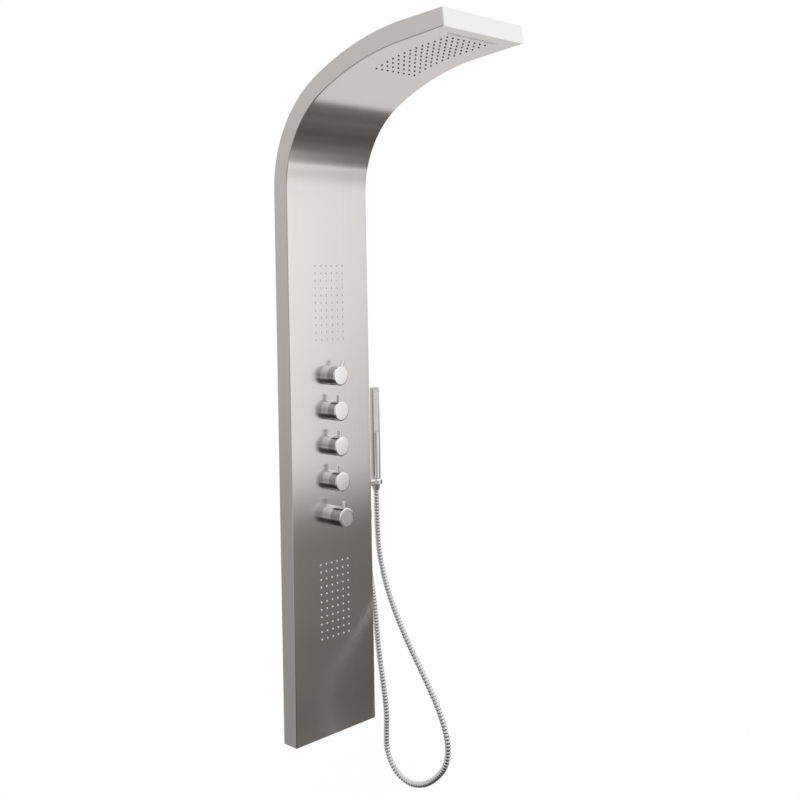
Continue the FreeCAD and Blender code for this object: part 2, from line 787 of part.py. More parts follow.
# ---- ribbed hose -----------------------------------------------------------------
def hose_corners():
    """Arc radius and arc ends at each inner point of the route."""
    points = [Vector(*point) for point in hose_route]
    corners = []
    for before, here, after in zip(points, points[1:], points[2:]):
        back, ahead = before - here, after - here
        half_turn = (math.pi - back.getAngle(ahead)) / 2
        reach = corner_share * min(back.Length, ahead.Length)
        radius = reach / math.tan(half_turn)
        corners.append((here, back.normalize() * reach, ahead.normalize() * reach, radius, half_turn))
    return corners


def hose_line():
    """Straight runs joined by tangent arcs."""
    corners = hose_corners()
    print("hose radii:", [round(corner[3]) for corner in corners])
    edges = []
    place = Vector(*hose_route[0])
    for here, back, ahead, radius, half_turn in corners:
        edges.append(Part.makeLine(place, here + back))
        centre_way = (back + ahead).normalize()
        middle = here + centre_way * (radius / math.cos(half_turn) - radius)
        edges.append(Part.Arc(here + back, middle, here + ahead).toShape())
        place = here + ahead
    edges.append(Part.makeLine(place, Vector(*hose_route[-1])))
    return edges


def line_point(edges, distance):
    """Point and direction at a distance along the hose's line."""
    for edge in edges:
        if distance <= edge.Length or edge is edges[-1]:
            parameter = edge.getParameterByLength(min(distance, edge.Length))
            return edge.valueAt(parameter), edge.tangentAt(parameter)
        distance -= edge.Length


def hose_circle(edges, distance, radius):
    """Circle round the hose's line, its first point always on the same side."""
    point, way = line_point(edges, distance)
    steady = (Vector(1, 0, 0) - way * way.x).normalize()
    circle = Part.Circle(point, way, radius)
    circle.XAxis = steady
    return Part.Wire(circle.toShape())


def shower_hose():
    """Ribbed metal hose: straight ends, even ribs and a bore right through."""
    edges = hose_line()
    length = sum(edge.Length for edge in edges)
    end = 2 * hose_radius
    pitch = (length - 2 * end) / hose_ribs
    low = hose_radius - hose_groove
    rings = [(0.0, low)]
    for number in range(hose_ribs):
        start = end + number * pitch
        rings += [(start, low), (start + rib_step * pitch, hose_radius)]
    rings += [(length - end, low), (length, low)]
    outside = Part.makeLoft([hose_circle(edges, at, radius) for at, radius in rings], True, True)
    bore_steps = 2 * len(hose_route)
    bore = Part.makeLoft([hose_circle(edges, length * step / bore_steps, hose_bore_radius)
                          for step in range(bore_steps + 1)], True, True)
    hose = outside.cut(bore)
    print("hose length", round(length, 1), "volume", round(hose.Volume))
    return hose


# ---- all nodes -------------------------------------------------------------------
def save(node, shape):
    """Write one node; anything but valid solids stops the build."""
    solids = shape.Solids
    if not solids or not all(solid.isValid() and solid.Volume > 0 for solid in solids):
        raise ValueError(node + " is not made of valid solids")
    shape.exportStep("parts/" + node + ".step")
    print(node, len(solids), round(sum(solid.Volume for solid in solids)))


def main():
    os.makedirs("parts", exist_ok=True)
    save("front_panel", front_panel())
    save("arm_cover", arm_cover())
    save("head_end_cap", head_end_cap())
    save("bottom_cap", bottom_cap())
    save("upper_wall_bracket", wall_bracket(0.0))
    save("lower_wall_bracket", wall_bracket(-bracket_pitch))
    save("upper_hanger_bar", hanger_bar(0.0))
    save("lower_hanger_bar", hanger_bar(-bracket_pitch))
    save("rain_nozzle_mat", spray_mat("rain"))
    save("rain_box", spray_box("rain", -riser_offset, True))
    save("waterfall_spout", waterfall_spout())
    save("upper_jet_mat", spray_mat("upper_jet"))
    save("upper_jet_box", spray_box("upper_jet", 0.0, True))
    save("lower_jet_mat", spray_mat("lower_jet"))
    save("lower_jet_box", spray_box("lower_jet", 0.0, False))
    save("rain_hose", riser(-riser_offset, field_extent("rain")[1]))
    spout_start = tip_distance - slot_tip_distance - slot_width / 2 - spout_flange
    save("waterfall_hose", riser(riser_offset, spout_start))
    manifold_top = top_knob_height + manifold_end
    manifold_bottom = thermostat_height - manifold_end
    save("upper_jet_hose", jet_hose(manifold_top, field_extent("upper_jet")[1] - bracket_height))
    save("lower_jet_hose", jet_hose(field_extent("lower_jet")[2] - bracket_height, manifold_bottom))
    save("handset_feed_hose", handset_feed())
    save("valve_manifold", valve_manifold())
    save("volume_cartridges", group([cartridge(height) for height in knob_heights[:-1]]))
    save("thermostatic_cartridge", cartridge(thermostat_height))
    save("valve_lock_nuts", group([lock_nut(height) for height in knob_heights]))
    save("volume_sleeves", group([sleeve(height, sleeve_length) for height in knob_heights[:-1]]))
    save("thermostat_sleeve", sleeve(thermostat_height, thermostat_sleeve_length))
    for number, height in enumerate(knob_heights[:-1], start=1):
        turn = first_knob_turn if number == 1 else 0.0
        centre, axis = Vector(0, 0, height), Vector(0, 1, 0)
        save("knob_%d_cap" % number, knob_cap(height, sleeve_length, knob_length).rotate(centre, axis, turn))
        save("knob_%d_peg" % number, peg(height, knob_length).rotate(centre, axis, turn))
        save("knob_%d_spindle" % number, spindle(height, knob_length))
    save("thermostat_cap", knob_cap(thermostat_height, thermostat_sleeve_length, thermostat_length))
    save("thermostat_peg", peg(thermostat_height, thermostat_length))
    save("thermostat_spindle", spindle(thermostat_height, thermostat_length))
    save("hot_inlet_nipple", inlet_nipple(-inlet_offset))
    save("cold_inlet_nipple", inlet_nipple(inlet_offset))
    save("inlet_check_valves", group([check_valve(-inlet_offset), check_valve(inlet_offset)]))
    save("outlet_elbow", outlet_elbow())
    save("outlet_lock_nut", outlet_nut())
    save("handset_holder", handset_holder())
    save("holder_bolt", holder_bolt())
    save("handset_body", handset_body())
    save("handset_spray_plate", handset_spray_plate())
    save("hose_cone_nut", hose_cone_nut())
    save("hose_end_nut", hose_end_nut())
    save("shower_hose", shower_hose())


main()
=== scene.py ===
# %% [markdown]
# # A wall-hung shower column in steel and chrome
#
# The object is one folded sheet of brushed stainless steel, 250 mm wide, that rises up a wall
# and bends forward into an arched rain head. It carries five chrome knobs, two fields of body
# jets, a stick handset in a side holder and a ribbed metal hose. Its construction is loaded as
# a fixed frame, in metres, with +Z up, the wall in the plane Y = 0 and the user at -Y. This
# script makes the surfaces: what each piece looks like from a step away and from close by.

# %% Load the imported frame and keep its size
import json
import math

import bmesh
import bpy
from mathutils import Matrix, Vector
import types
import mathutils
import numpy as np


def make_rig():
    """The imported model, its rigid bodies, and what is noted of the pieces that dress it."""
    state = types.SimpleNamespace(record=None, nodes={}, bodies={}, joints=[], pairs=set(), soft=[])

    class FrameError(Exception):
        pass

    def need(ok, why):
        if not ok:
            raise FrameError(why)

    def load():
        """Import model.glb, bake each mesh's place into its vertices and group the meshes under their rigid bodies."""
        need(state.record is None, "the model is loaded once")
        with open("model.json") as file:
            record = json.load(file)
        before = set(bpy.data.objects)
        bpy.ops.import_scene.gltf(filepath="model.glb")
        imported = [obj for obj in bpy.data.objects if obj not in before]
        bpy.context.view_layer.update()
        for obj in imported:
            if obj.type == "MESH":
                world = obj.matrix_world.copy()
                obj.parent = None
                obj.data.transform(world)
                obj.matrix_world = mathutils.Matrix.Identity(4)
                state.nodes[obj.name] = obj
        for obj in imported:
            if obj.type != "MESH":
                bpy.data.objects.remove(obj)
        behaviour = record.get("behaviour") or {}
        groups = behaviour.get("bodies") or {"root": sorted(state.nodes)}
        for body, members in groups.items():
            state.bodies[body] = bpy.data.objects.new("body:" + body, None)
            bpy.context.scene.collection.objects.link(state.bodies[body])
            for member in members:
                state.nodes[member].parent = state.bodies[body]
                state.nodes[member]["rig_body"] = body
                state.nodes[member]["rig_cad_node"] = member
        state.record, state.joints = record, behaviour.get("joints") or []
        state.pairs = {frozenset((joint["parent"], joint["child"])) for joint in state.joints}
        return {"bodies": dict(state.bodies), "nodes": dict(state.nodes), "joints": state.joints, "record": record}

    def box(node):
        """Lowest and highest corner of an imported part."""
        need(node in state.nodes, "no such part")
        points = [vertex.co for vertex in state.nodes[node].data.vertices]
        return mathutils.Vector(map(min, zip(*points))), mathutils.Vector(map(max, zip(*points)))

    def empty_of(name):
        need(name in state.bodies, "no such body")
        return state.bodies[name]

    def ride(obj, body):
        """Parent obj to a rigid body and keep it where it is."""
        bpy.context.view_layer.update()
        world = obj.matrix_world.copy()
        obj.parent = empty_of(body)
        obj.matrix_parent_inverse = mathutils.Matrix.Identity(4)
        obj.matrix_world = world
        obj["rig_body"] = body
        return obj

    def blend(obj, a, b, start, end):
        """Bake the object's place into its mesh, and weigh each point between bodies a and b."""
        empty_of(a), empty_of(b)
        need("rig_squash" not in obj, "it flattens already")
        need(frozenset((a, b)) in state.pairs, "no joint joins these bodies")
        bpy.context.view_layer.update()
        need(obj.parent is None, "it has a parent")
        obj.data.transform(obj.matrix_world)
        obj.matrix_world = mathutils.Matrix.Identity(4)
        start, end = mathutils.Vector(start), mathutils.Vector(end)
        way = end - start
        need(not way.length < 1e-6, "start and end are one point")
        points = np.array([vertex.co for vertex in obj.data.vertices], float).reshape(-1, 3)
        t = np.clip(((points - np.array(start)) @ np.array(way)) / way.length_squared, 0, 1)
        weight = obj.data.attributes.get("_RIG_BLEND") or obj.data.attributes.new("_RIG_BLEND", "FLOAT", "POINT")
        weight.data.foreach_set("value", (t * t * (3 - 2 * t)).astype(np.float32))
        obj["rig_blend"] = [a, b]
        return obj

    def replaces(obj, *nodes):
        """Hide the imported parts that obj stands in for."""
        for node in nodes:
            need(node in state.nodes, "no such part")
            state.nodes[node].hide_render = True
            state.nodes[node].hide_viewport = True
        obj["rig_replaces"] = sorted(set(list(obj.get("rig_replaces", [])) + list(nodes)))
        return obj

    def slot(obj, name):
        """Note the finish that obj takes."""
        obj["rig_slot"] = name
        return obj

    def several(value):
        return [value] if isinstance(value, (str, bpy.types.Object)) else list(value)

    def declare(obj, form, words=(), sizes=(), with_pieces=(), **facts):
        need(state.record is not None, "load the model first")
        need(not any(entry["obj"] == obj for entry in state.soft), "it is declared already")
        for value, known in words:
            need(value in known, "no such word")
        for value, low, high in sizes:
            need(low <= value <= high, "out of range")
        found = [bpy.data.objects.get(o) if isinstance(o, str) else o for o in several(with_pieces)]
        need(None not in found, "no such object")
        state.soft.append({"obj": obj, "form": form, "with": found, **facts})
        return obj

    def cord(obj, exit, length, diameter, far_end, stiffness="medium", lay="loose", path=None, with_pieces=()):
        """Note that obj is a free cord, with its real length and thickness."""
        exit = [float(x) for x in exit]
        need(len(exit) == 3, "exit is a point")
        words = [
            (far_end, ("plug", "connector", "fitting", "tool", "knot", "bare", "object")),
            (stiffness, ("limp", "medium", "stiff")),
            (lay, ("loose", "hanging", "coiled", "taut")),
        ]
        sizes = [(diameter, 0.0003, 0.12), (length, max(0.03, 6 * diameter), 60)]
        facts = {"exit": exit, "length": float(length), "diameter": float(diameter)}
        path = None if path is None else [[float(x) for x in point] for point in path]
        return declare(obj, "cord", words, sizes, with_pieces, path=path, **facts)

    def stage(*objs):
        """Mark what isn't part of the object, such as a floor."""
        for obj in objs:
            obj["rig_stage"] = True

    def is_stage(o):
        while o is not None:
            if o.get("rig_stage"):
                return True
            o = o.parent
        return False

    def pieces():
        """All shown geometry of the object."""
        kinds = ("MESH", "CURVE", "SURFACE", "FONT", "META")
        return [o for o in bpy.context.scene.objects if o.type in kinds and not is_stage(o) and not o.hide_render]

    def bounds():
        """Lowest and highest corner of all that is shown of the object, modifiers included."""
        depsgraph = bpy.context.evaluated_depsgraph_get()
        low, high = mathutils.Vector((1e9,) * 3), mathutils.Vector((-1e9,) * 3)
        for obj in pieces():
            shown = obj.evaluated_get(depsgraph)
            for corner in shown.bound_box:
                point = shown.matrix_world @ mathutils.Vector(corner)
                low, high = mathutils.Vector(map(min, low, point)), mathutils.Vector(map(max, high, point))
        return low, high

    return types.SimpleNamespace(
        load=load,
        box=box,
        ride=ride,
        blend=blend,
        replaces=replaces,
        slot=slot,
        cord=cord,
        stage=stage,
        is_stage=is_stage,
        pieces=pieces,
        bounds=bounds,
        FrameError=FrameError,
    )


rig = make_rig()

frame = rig.load()
nodes = frame["nodes"]
cad_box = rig.bounds()
MM = 0.001
scene = bpy.context.scene
print("frame:", len(nodes), "nodes,", len(frame["bodies"]), "bodies")

# %% [markdown]
# ## The camera
#
# A photograph of a tall product is taken with the camera level, so that its edges stay
# upright, and the lens is shifted down to take in the foot. A camera that is simply aimed at
# the object would let the edges lean together. The one here stands at the left, about 2.6 m
# away and at chest height, and leans by one degree as the photograph does.

# %% Camera
CAMERA_PLACE = Vector((-1.7514, -1.9332, -0.1243))
CAMERA_YAW = math.radians(45.106)
CAMERA_ROLL = math.radians(-1.06)
LENS_MM = 50.12
LENS_SHIFT = (0.0324, -0.1399)


def level_camera(place, yaw, roll):
    """A camera that looks level towards +Y, turned by yaw towards +X."""
    data = bpy.data.cameras.new("camera")
    data.lens = LENS_MM
    data.shift_x, data.shift_y = LENS_SHIFT
    camera = bpy.data.objects.new("camera", data)
    scene.collection.objects.link(camera)
    forward = Vector((math.sin(yaw), math.cos(yaw), 0))
    right = Vector((math.cos(yaw), -math.sin(yaw), 0))
    up = Vector((0, 0, 1))
    across = right * math.cos(roll) + up * math.sin(roll)
    upward = up * math.cos(roll) - right * math.sin(roll)
    turn = Matrix((across, upward, -forward)).transposed().to_4x4()
    camera.matrix_world = Matrix.Translation(place) @ turn
    return camera


scene.camera = level_camera(CAMERA_PLACE, CAMERA_YAW, CAMERA_ROLL)
print("camera at", [round(value, 3) for value in scene.camera.location])

# %% [markdown]
# ## The room that the metal mirrors
#
# Polished and brushed steel have almost no colour of their own: they show the room. Here the
# room is white at the right and overhead, and dimmer towards the left and the wall, as a
# gradient by direction in the world. What lies on the floor matters most: a product like this
# is photographed over an unlit floor that ends in a bright backdrop almost five metres in
# front of it. That floor is what makes the dark band in the arch and the dark foot of the
# column. A soft card at the right front lifts the column's face and the cap of the head. Only
# the metal mirrors the unlit floor and the card. The eye sees a pale floor, which takes the
# object's shadow. A panorama of a studio could do the same, but a gradient and two planes are
# enough, and each of them can be set by itself.

# %% Shader helpers


def feed(tree, source, target):
    """Wire a socket to an input, or set the input to a plain value."""
    if isinstance(source, bpy.types.NodeSocket):
        tree.links.new(source, target)
    else:
        target.default_value = source


def node(tree, kind, *sources, **values):
    """Add a shader node: sources feed its inputs in order, values go by property or input name."""
    made = tree.nodes.new(kind)
    for key, value in values.items():
        if hasattr(made, key):
            setattr(made, key, value)
        else:
            made.inputs[key.replace("_", " ")].default_value = value
    for place, source in enumerate(sources):
        feed(tree, source, made.inputs[place])
    return made


def math_node(tree, operation, first, second=0.0):
    return node(tree, "ShaderNodeMath", first, second, operation=operation).outputs[0]


def spread(tree, source, given, result):
    """Map a value from one range to another, clamped."""
    return node(tree, "ShaderNodeMapRange", source, *given, *result).outputs["Result"]


def ramp(tree, source, stops):
    """Grey ramp through (position, level) stops; the source feeds its factor."""
    made = node(tree, "ShaderNodeValToRGB", source)
    elements = made.color_ramp.elements
    while len(elements) < len(stops):
        elements.new(0.5)
    for element, (position, level) in zip(elements, stops):
        element.position = position
        element.color = (level, level, level, 1.0)
    return made.outputs["Color"]


def object_place(tree):
    return node(tree, "ShaderNodeTexCoord").outputs["Object"]


def parts(tree, vector):
    """The X, Y and Z of a vector, by name."""
    return node(tree, "ShaderNodeSeparateXYZ", vector).outputs


def times(tree, vector, factors):
    """A vector or colour, multiplied part by part."""
    made = node(tree, "ShaderNodeVectorMath", vector, factors, operation="MULTIPLY")
    return made.outputs[0]


def mixed_colour(tree, factor, low, high):
    """Colour that runs from low to high with a factor."""
    mix = node(tree, "ShaderNodeMix", data_type="RGBA")
    for name, source in (("Factor", factor), ("A", low), ("B", high)):
        feed(tree, source, mix.inputs[name])
    return mix.outputs["Result"]


def mixed_shader(tree, factor, first, second):
    shaders = first.outputs[0], second.outputs[0]
    return node(tree, "ShaderNodeMixShader", factor, *shaders)


def camera_ray(tree):
    return node(tree, "ShaderNodeLightPath").outputs["Is Camera Ray"]


def shown(tree, shader, kind="Material"):
    """End a node tree with the output that shows a shader."""
    node(tree, f"ShaderNodeOutput{kind}", shader.outputs[0])


# %% World: white at the right and above, dimmer towards the left and the wall
LEFT_STOPS = [(-1.0, 0.38), (-0.40, 0.34), (-0.22, 0.39), (-0.07, 0.55), (0.0, 0.58),
              (0.17, 0.66), (0.5, 0.90), (1.0, 0.96)]
RIGHT_STOPS = [(-1.0, 0.93), (-0.30, 0.93), (-0.20, 0.60), (-0.125, 0.62), (-0.068, 0.74),
               (0.0, 0.86), (0.087, 0.93), (0.30, 1.0), (1.0, 1.0)]
# Stops by height of the direction, and the share of them in front and at the wall.
ROOM_SIDES = ((LEFT_STOPS, (0.72, 1.0)), (RIGHT_STOPS, (1.0, 0.86)))
FRONT_TO_WALL, LEFT_TO_RIGHT = (-0.45, 0.35), (-0.6, 0.3)


def studio_world():
    """Room light by direction; only the camera sees the plain white background."""
    world = bpy.data.worlds.new("studio")
    world.use_nodes = True
    tree = world.node_tree
    tree.nodes.clear()
    way = parts(tree, node(tree, "ShaderNodeTexCoord").outputs["Generated"])
    height = spread(tree, way["Z"], (-1, 1), (0, 1))
    sides = []
    for stops, shares in ROOM_SIDES:
        level = ramp(tree, height, [((mark + 1) / 2, value) for mark, value in stops])
        scale = node(tree, "ShaderNodeVectorMath", level, operation="SCALE")
        feed(tree, spread(tree, way["Y"], FRONT_TO_WALL, shares), scale.inputs["Scale"])
        sides.append(scale.outputs[0])
    room = mixed_colour(tree, spread(tree, way["X"], LEFT_TO_RIGHT, (0, 1)), *sides)
    light = node(tree, "ShaderNodeBackground", room)
    white = node(tree, "ShaderNodeBackground", Color=(1, 1, 1, 1))
    shown(tree, mixed_shader(tree, camera_ray(tree), light, white), "World")
    scene.world = world


studio_world()
scene.view_settings.view_transform = "Standard"

# %% Pale floor that the eye sees
FLOOR_HEIGHT, FLOOR_SIZE = -1.45, 30.0
FLOOR_FADE, FLOOR_WHITE = (1.3, 2.6), (0.9, 1.0)


def plane(name, low, high, height):
    mesh = bpy.data.meshes.new(name)
    corners = [(low[0], low[1]), (high[0], low[1]), (high[0], high[1]), (low[0], high[1])]
    mesh.from_pydata([(x, y, height) for x, y in corners], [], [(0, 1, 2, 3)])
    made = bpy.data.objects.new(name, mesh)
    scene.collection.objects.link(made)
    material = bpy.data.materials.new(name)
    material.use_nodes = True
    material.node_tree.nodes.clear()
    mesh.materials.append(material)
    return made, material.node_tree


def pale_floor():
    """Matt floor that takes the shadow, and goes over into plain white farther out."""
    half = FLOOR_SIZE / 2
    floor, tree = plane("pale_floor", (-half, -half), (half, half), FLOOR_HEIGHT)
    floor.visible_glossy = False
    matt = node(tree, "ShaderNodeBsdfDiffuse", Color=(0.9, 0.9, 0.9, 1))
    white = node(tree, "ShaderNodeEmission", Color=(1, 1, 1, 1))
    reach = node(tree, "ShaderNodeVectorMath", object_place(tree), operation="LENGTH")
    fade = spread(tree, reach.outputs["Value"], FLOOR_FADE, FLOOR_WHITE)
    seen = math_node(tree, "MULTIPLY", camera_ray(tree), fade)
    shown(tree, mixed_shader(tree, seen, matt, white))
    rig.stage(floor)


pale_floor()
print("pale floor at", FLOOR_HEIGHT, "m")

# %% Unlit floor and soft card that only the metal mirrors
UNLIT_HEIGHT = -1.72
UNLIT_NEAR, UNLIT_FAR, UNLIT_SIDE = 0.12, -4.75, 12.0
UNLIT_STOPS = [(0.0, 0.19), (0.12, 0.17), (0.28, 0.155), (0.44, 0.19), (0.64, 0.195),
               (0.80, 0.235), (0.90, 0.30), (0.97, 0.47), (1.0, 0.7)]
UNLIT_TINT = (1.31, 1.26, 1.20)
BOARD_STRETCH, BOARD_NOISE, BOARD_LEVELS = (0.15, 3.2, 1.0), (0.3, 0.7), (0.6, 1.4)
# Levels by place across: each pair has two places in metres and the levels there.
ACROSS_LEVELS = (((-0.1, 0.7), (0.25, 1.0)), ((-2.2, -1.2), (8.0, 1.0)))
# Levels by sideways lean, seen from a point behind the column.
LEAN_FROM, LEAN_RANGE = 0.3, (0.5, 1.5)
LEAN_STOPS = [(0.1, 1.0), (0.45, 0.625), (0.54, 0.50), (0.64, 0.50), (0.74, 0.625)]
CARD_PLACE, CARD_HALF, CARD_CORE = (1.10, -1.75, -0.30), (0.52, 0.80), (0.1, 0.65)
CARD_HEIGHTS, CARD_LEVELS = (-0.45, 0.65), (0.60, 0.27)


def only_mirrored(thing):
    for ray in ("camera", "diffuse", "transmission", "volume_scatter", "shadow"):
        setattr(thing, f"visible_{ray}", False)


def unlit_floor():
    """The unlit part of the studio floor, darker towards the right, with faint boards."""
    low, high = (-UNLIT_SIDE, UNLIT_FAR), (UNLIT_SIDE, UNLIT_NEAR)
    floor, tree = plane("unlit_floor", low, high, UNLIT_HEIGHT)
    only_mirrored(floor)
    place = object_place(tree)
    at = parts(tree, place)
    ahead = spread(tree, at["Y"], (UNLIT_NEAR, UNLIT_FAR), (0, 1))
    colour = times(tree, ramp(tree, ahead, UNLIT_STOPS), UNLIT_TINT)
    stretched = times(tree, place, BOARD_STRETCH)
    boards = node(tree, "ShaderNodeTexNoise", stretched, Scale=1.0, Detail=2.0)
    strength = spread(tree, boards.outputs["Fac"], BOARD_NOISE, BOARD_LEVELS)
    for places, levels in ACROSS_LEVELS:
        level = spread(tree, at["X"], places, levels)
        strength = math_node(tree, "MULTIPLY", strength, level)
    lean = math_node(tree, "DIVIDE", at["X"], math_node(tree, "SUBTRACT", LEAN_FROM, at["Y"]))
    fall = ramp(tree, spread(tree, lean, LEAN_RANGE, (0.0, 1.0)), LEAN_STOPS)
    strength = math_node(tree, "MULTIPLY", strength, fall)
    shown(tree, node(tree, "ShaderNodeEmission", colour, strength))
    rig.stage(floor)


def soft_card():
    """A bright card at the right front, with soft edges, that only the metal mirrors."""
    card, tree = plane("soft_card", (-CARD_HALF[0], -CARD_HALF[1]), CARD_HALF, 0.0)
    card.location = CARD_PLACE
    across = Vector((-CARD_PLACE[1], CARD_PLACE[0], 0)).normalized()
    toward = Vector((-CARD_PLACE[0], -CARD_PLACE[1], 0)).normalized()
    card.rotation_euler = Matrix((across, Vector((0, 0, 1)), toward)).transposed().to_euler()
    only_mirrored(card)
    at = parts(tree, object_place(tree))
    level = spread(tree, at["Y"], CARD_HEIGHTS, CARD_LEVELS)
    for axis, half, core in zip("XY", CARD_HALF, CARD_CORE):
        reach = math_node(tree, "ABSOLUTE", at[axis])
        fade = spread(tree, reach, (half, half * core), (0.0, 1.0))
        level = math_node(tree, "MULTIPLY", level, fade)
    glow = node(tree, "ShaderNodeEmission", (1, 1, 1, 1), level)
    clear = node(tree, "ShaderNodeBsdfTransparent")
    shown(tree, node(tree, "ShaderNodeAddShader", glow.outputs[0], clear.outputs[0]))
    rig.stage(card)


unlit_floor()
soft_card()
print("mirrored only: floor at", UNLIT_HEIGHT, "m and card at", CARD_PLACE)

# %% Lamps for plastic and floor
LAMPS = [
    ("lamp_left", (-3.2, -2.0, 2.2), 2.4, 48.0),
    ("lamp_right", (2.6, -3.0, 1.8), 2.0, 18.0),
]
LAMP_AIM = Vector((0, 0, -0.2))


def soft_lamp(name, place, size, power):
    """Round lamp that lights plastic and floor; the metal doesn't mirror it."""
    data = bpy.data.lights.new(name, "AREA")
    data.shape = "DISK"
    data.size = size
    data.energy = power
    lamp = bpy.data.objects.new(name, data)
    scene.collection.objects.link(lamp)
    lamp.location = place
    lamp.visible_glossy = False
    aim = LAMP_AIM - lamp.location
    lamp.rotation_euler = aim.to_track_quat("-Z", "Y").to_euler()


for lamp in LAMPS:
    soft_lamp(*lamp)
print("lamps:", [lamp[0] for lamp in LAMPS])

# %% [markdown]
# ## Effects that several finishes share
#
# Brushing leaves fine scratches along the sheet. They show as streaks of slightly different
# brightness and as a blur of what is mirrored. Handling and drying water leave faint cloudy
# patches, which change the gloss. Both could be painted, but noise needs no picture and never
# repeats. Both are node groups with named inputs, so that each finish sets its own scale and
# strength.

# %% Node groups: brushed grain and faint smudges
FINE_SHARE = 0.45
SMUDGE_RANGE = (0.42, 0.72)


def new_group(name, inputs, outputs):
    tree = bpy.data.node_groups.new(name, "ShaderNodeTree")
    for label, kind, default in inputs:
        socket = tree.interface.new_socket(name=label, in_out="INPUT", socket_type=kind)
        if default is not None:
            socket.default_value = default
    for label, kind in outputs:
        tree.interface.new_socket(name=label, in_out="OUTPUT", socket_type=kind)
    return tree, tree.nodes.new("NodeGroupInput"), tree.nodes.new("NodeGroupOutput")


def grain_group():
    """Streaks: fine ones for the bump, broad ones for shade; each scale stretches its noise."""
    tree, given, result = new_group(
        "brushed grain",
        [("Vector", "NodeSocketVector", None), ("Scale", "NodeSocketVector", (3000, 20, 1)),
         ("Broad Scale", "NodeSocketVector", (200, 3, 1)), ("Depth", "NodeSocketFloat", 0.5)],
        [("Height", "NodeSocketFloat"), ("Shade", "NodeSocketFloat")],
    )
    streaks = []
    for socket in ("Scale", "Broad Scale"):
        stretched = times(tree, given.outputs["Vector"], given.outputs[socket])
        noise = node(tree, "ShaderNodeTexNoise", stretched, Scale=1.0, Detail=4.0,
                     Roughness=0.6)
        streaks.append(noise.outputs["Fac"])
    height = math_node(tree, "MULTIPLY", streaks[0], given.outputs["Depth"])
    feed(tree, height, result.inputs["Height"])
    fine, broad = (math_node(tree, "MULTIPLY", streak, share)
                   for streak, share in zip(streaks, (FINE_SHARE, 1 - FINE_SHARE)))
    feed(tree, math_node(tree, "ADD", fine, broad), result.inputs["Shade"])
    return tree


def smudge_group():
    """Cloudy patches of handling, from 0 where the metal is clean to 1."""
    tree, given, result = new_group(
        "smudges",
        [("Vector", "NodeSocketVector", None), ("Size", "NodeSocketFloat", 20.0)],
        [("Mask", "NodeSocketFloat")],
    )
    noise = node(tree, "ShaderNodeTexNoise", given.outputs["Vector"], Detail=5.0,
                 Roughness=0.62, Distortion=0.4)
    feed(tree, given.outputs["Size"], noise.inputs["Scale"])
    feed(tree, spread(tree, noise.outputs["Fac"], SMUDGE_RANGE, (0, 1)), result.inputs["Mask"])
    return tree


GRAIN = grain_group()
SMUDGES = smudge_group()

# %% Material builder


def principled(name, colour, metallic, roughness, **sockets):
    """A material with its Principled shader; sockets are plain values by name."""
    material = bpy.data.materials.new(name)
    material.use_nodes = True
    tree = material.node_tree
    shader = tree.nodes["Principled BSDF"]
    shader.inputs["Base Color"].default_value = (*colour, 1)
    shader.inputs["Metallic"].default_value = metallic
    shader.inputs["Roughness"].default_value = roughness
    for key, value in sockets.items():
        shader.inputs[key.replace("_", " ")].default_value = value
    return material, tree, shader


def placed(tree, group, vector, **values):
    made = tree.nodes.new("ShaderNodeGroup")
    made.node_tree = group
    feed(tree, vector, made.inputs["Vector"])
    for key, value in values.items():
        made.inputs[key.replace("_", " ")].default_value = value
    return made


def blended_colour(tree, shader, factor, low, high):
    """Base Color runs from low to high with a factor."""
    feed(tree, mixed_colour(tree, factor, (*low, 1), (*high, 1)), shader.inputs["Base Color"])


def varied_roughness(tree, shader, factor, low, high):
    feed(tree, spread(tree, factor, (0, 1), (low, high)), shader.inputs["Roughness"])


def bumped(tree, shader, height, depth):
    """Normal from a height, depth in metres."""
    bump = node(tree, "ShaderNodeBump", Strength=1.0, Distance=depth)
    feed(tree, height, bump.inputs["Height"])
    feed(tree, bump.outputs["Normal"], shader.inputs["Normal"])


# %% Finishes of steel, chrome and brass


def brushed_steel(name, coordinates, scale, broad, shades, roughness, depth, anisotropic):
    """Brushed sheet; coordinates is a UV map's name, or None for object coordinates."""
    material, tree, shader = principled(name, shades[0], 1.0, roughness[0], Anisotropic=anisotropic)
    if coordinates:
        vector = node(tree, "ShaderNodeUVMap", uv_map=coordinates).outputs[0]
        tangent = node(tree, "ShaderNodeTangent", direction_type="UV_MAP", uv_map=coordinates)
        feed(tree, tangent.outputs[0], shader.inputs["Tangent"])
    else:
        vector = object_place(tree)
    grain = placed(tree, GRAIN, vector, Scale=scale, Broad_Scale=broad)
    blended_colour(tree, shader, grain.outputs["Shade"], *shades)
    varied_roughness(tree, shader, grain.outputs["Shade"], *roughness)
    bumped(tree, shader, grain.outputs["Height"], depth)
    return material


def polished(name, colour, roughness, size=30.0):
    """Polished plate with faint cloudy patches in its gloss."""
    material, tree, shader = principled(name, colour, 1.0, roughness[0])
    smudges = placed(tree, SMUDGES, object_place(tree), Size=size)
    varied_roughness(tree, shader, smudges.outputs["Mask"], *roughness)
    return material


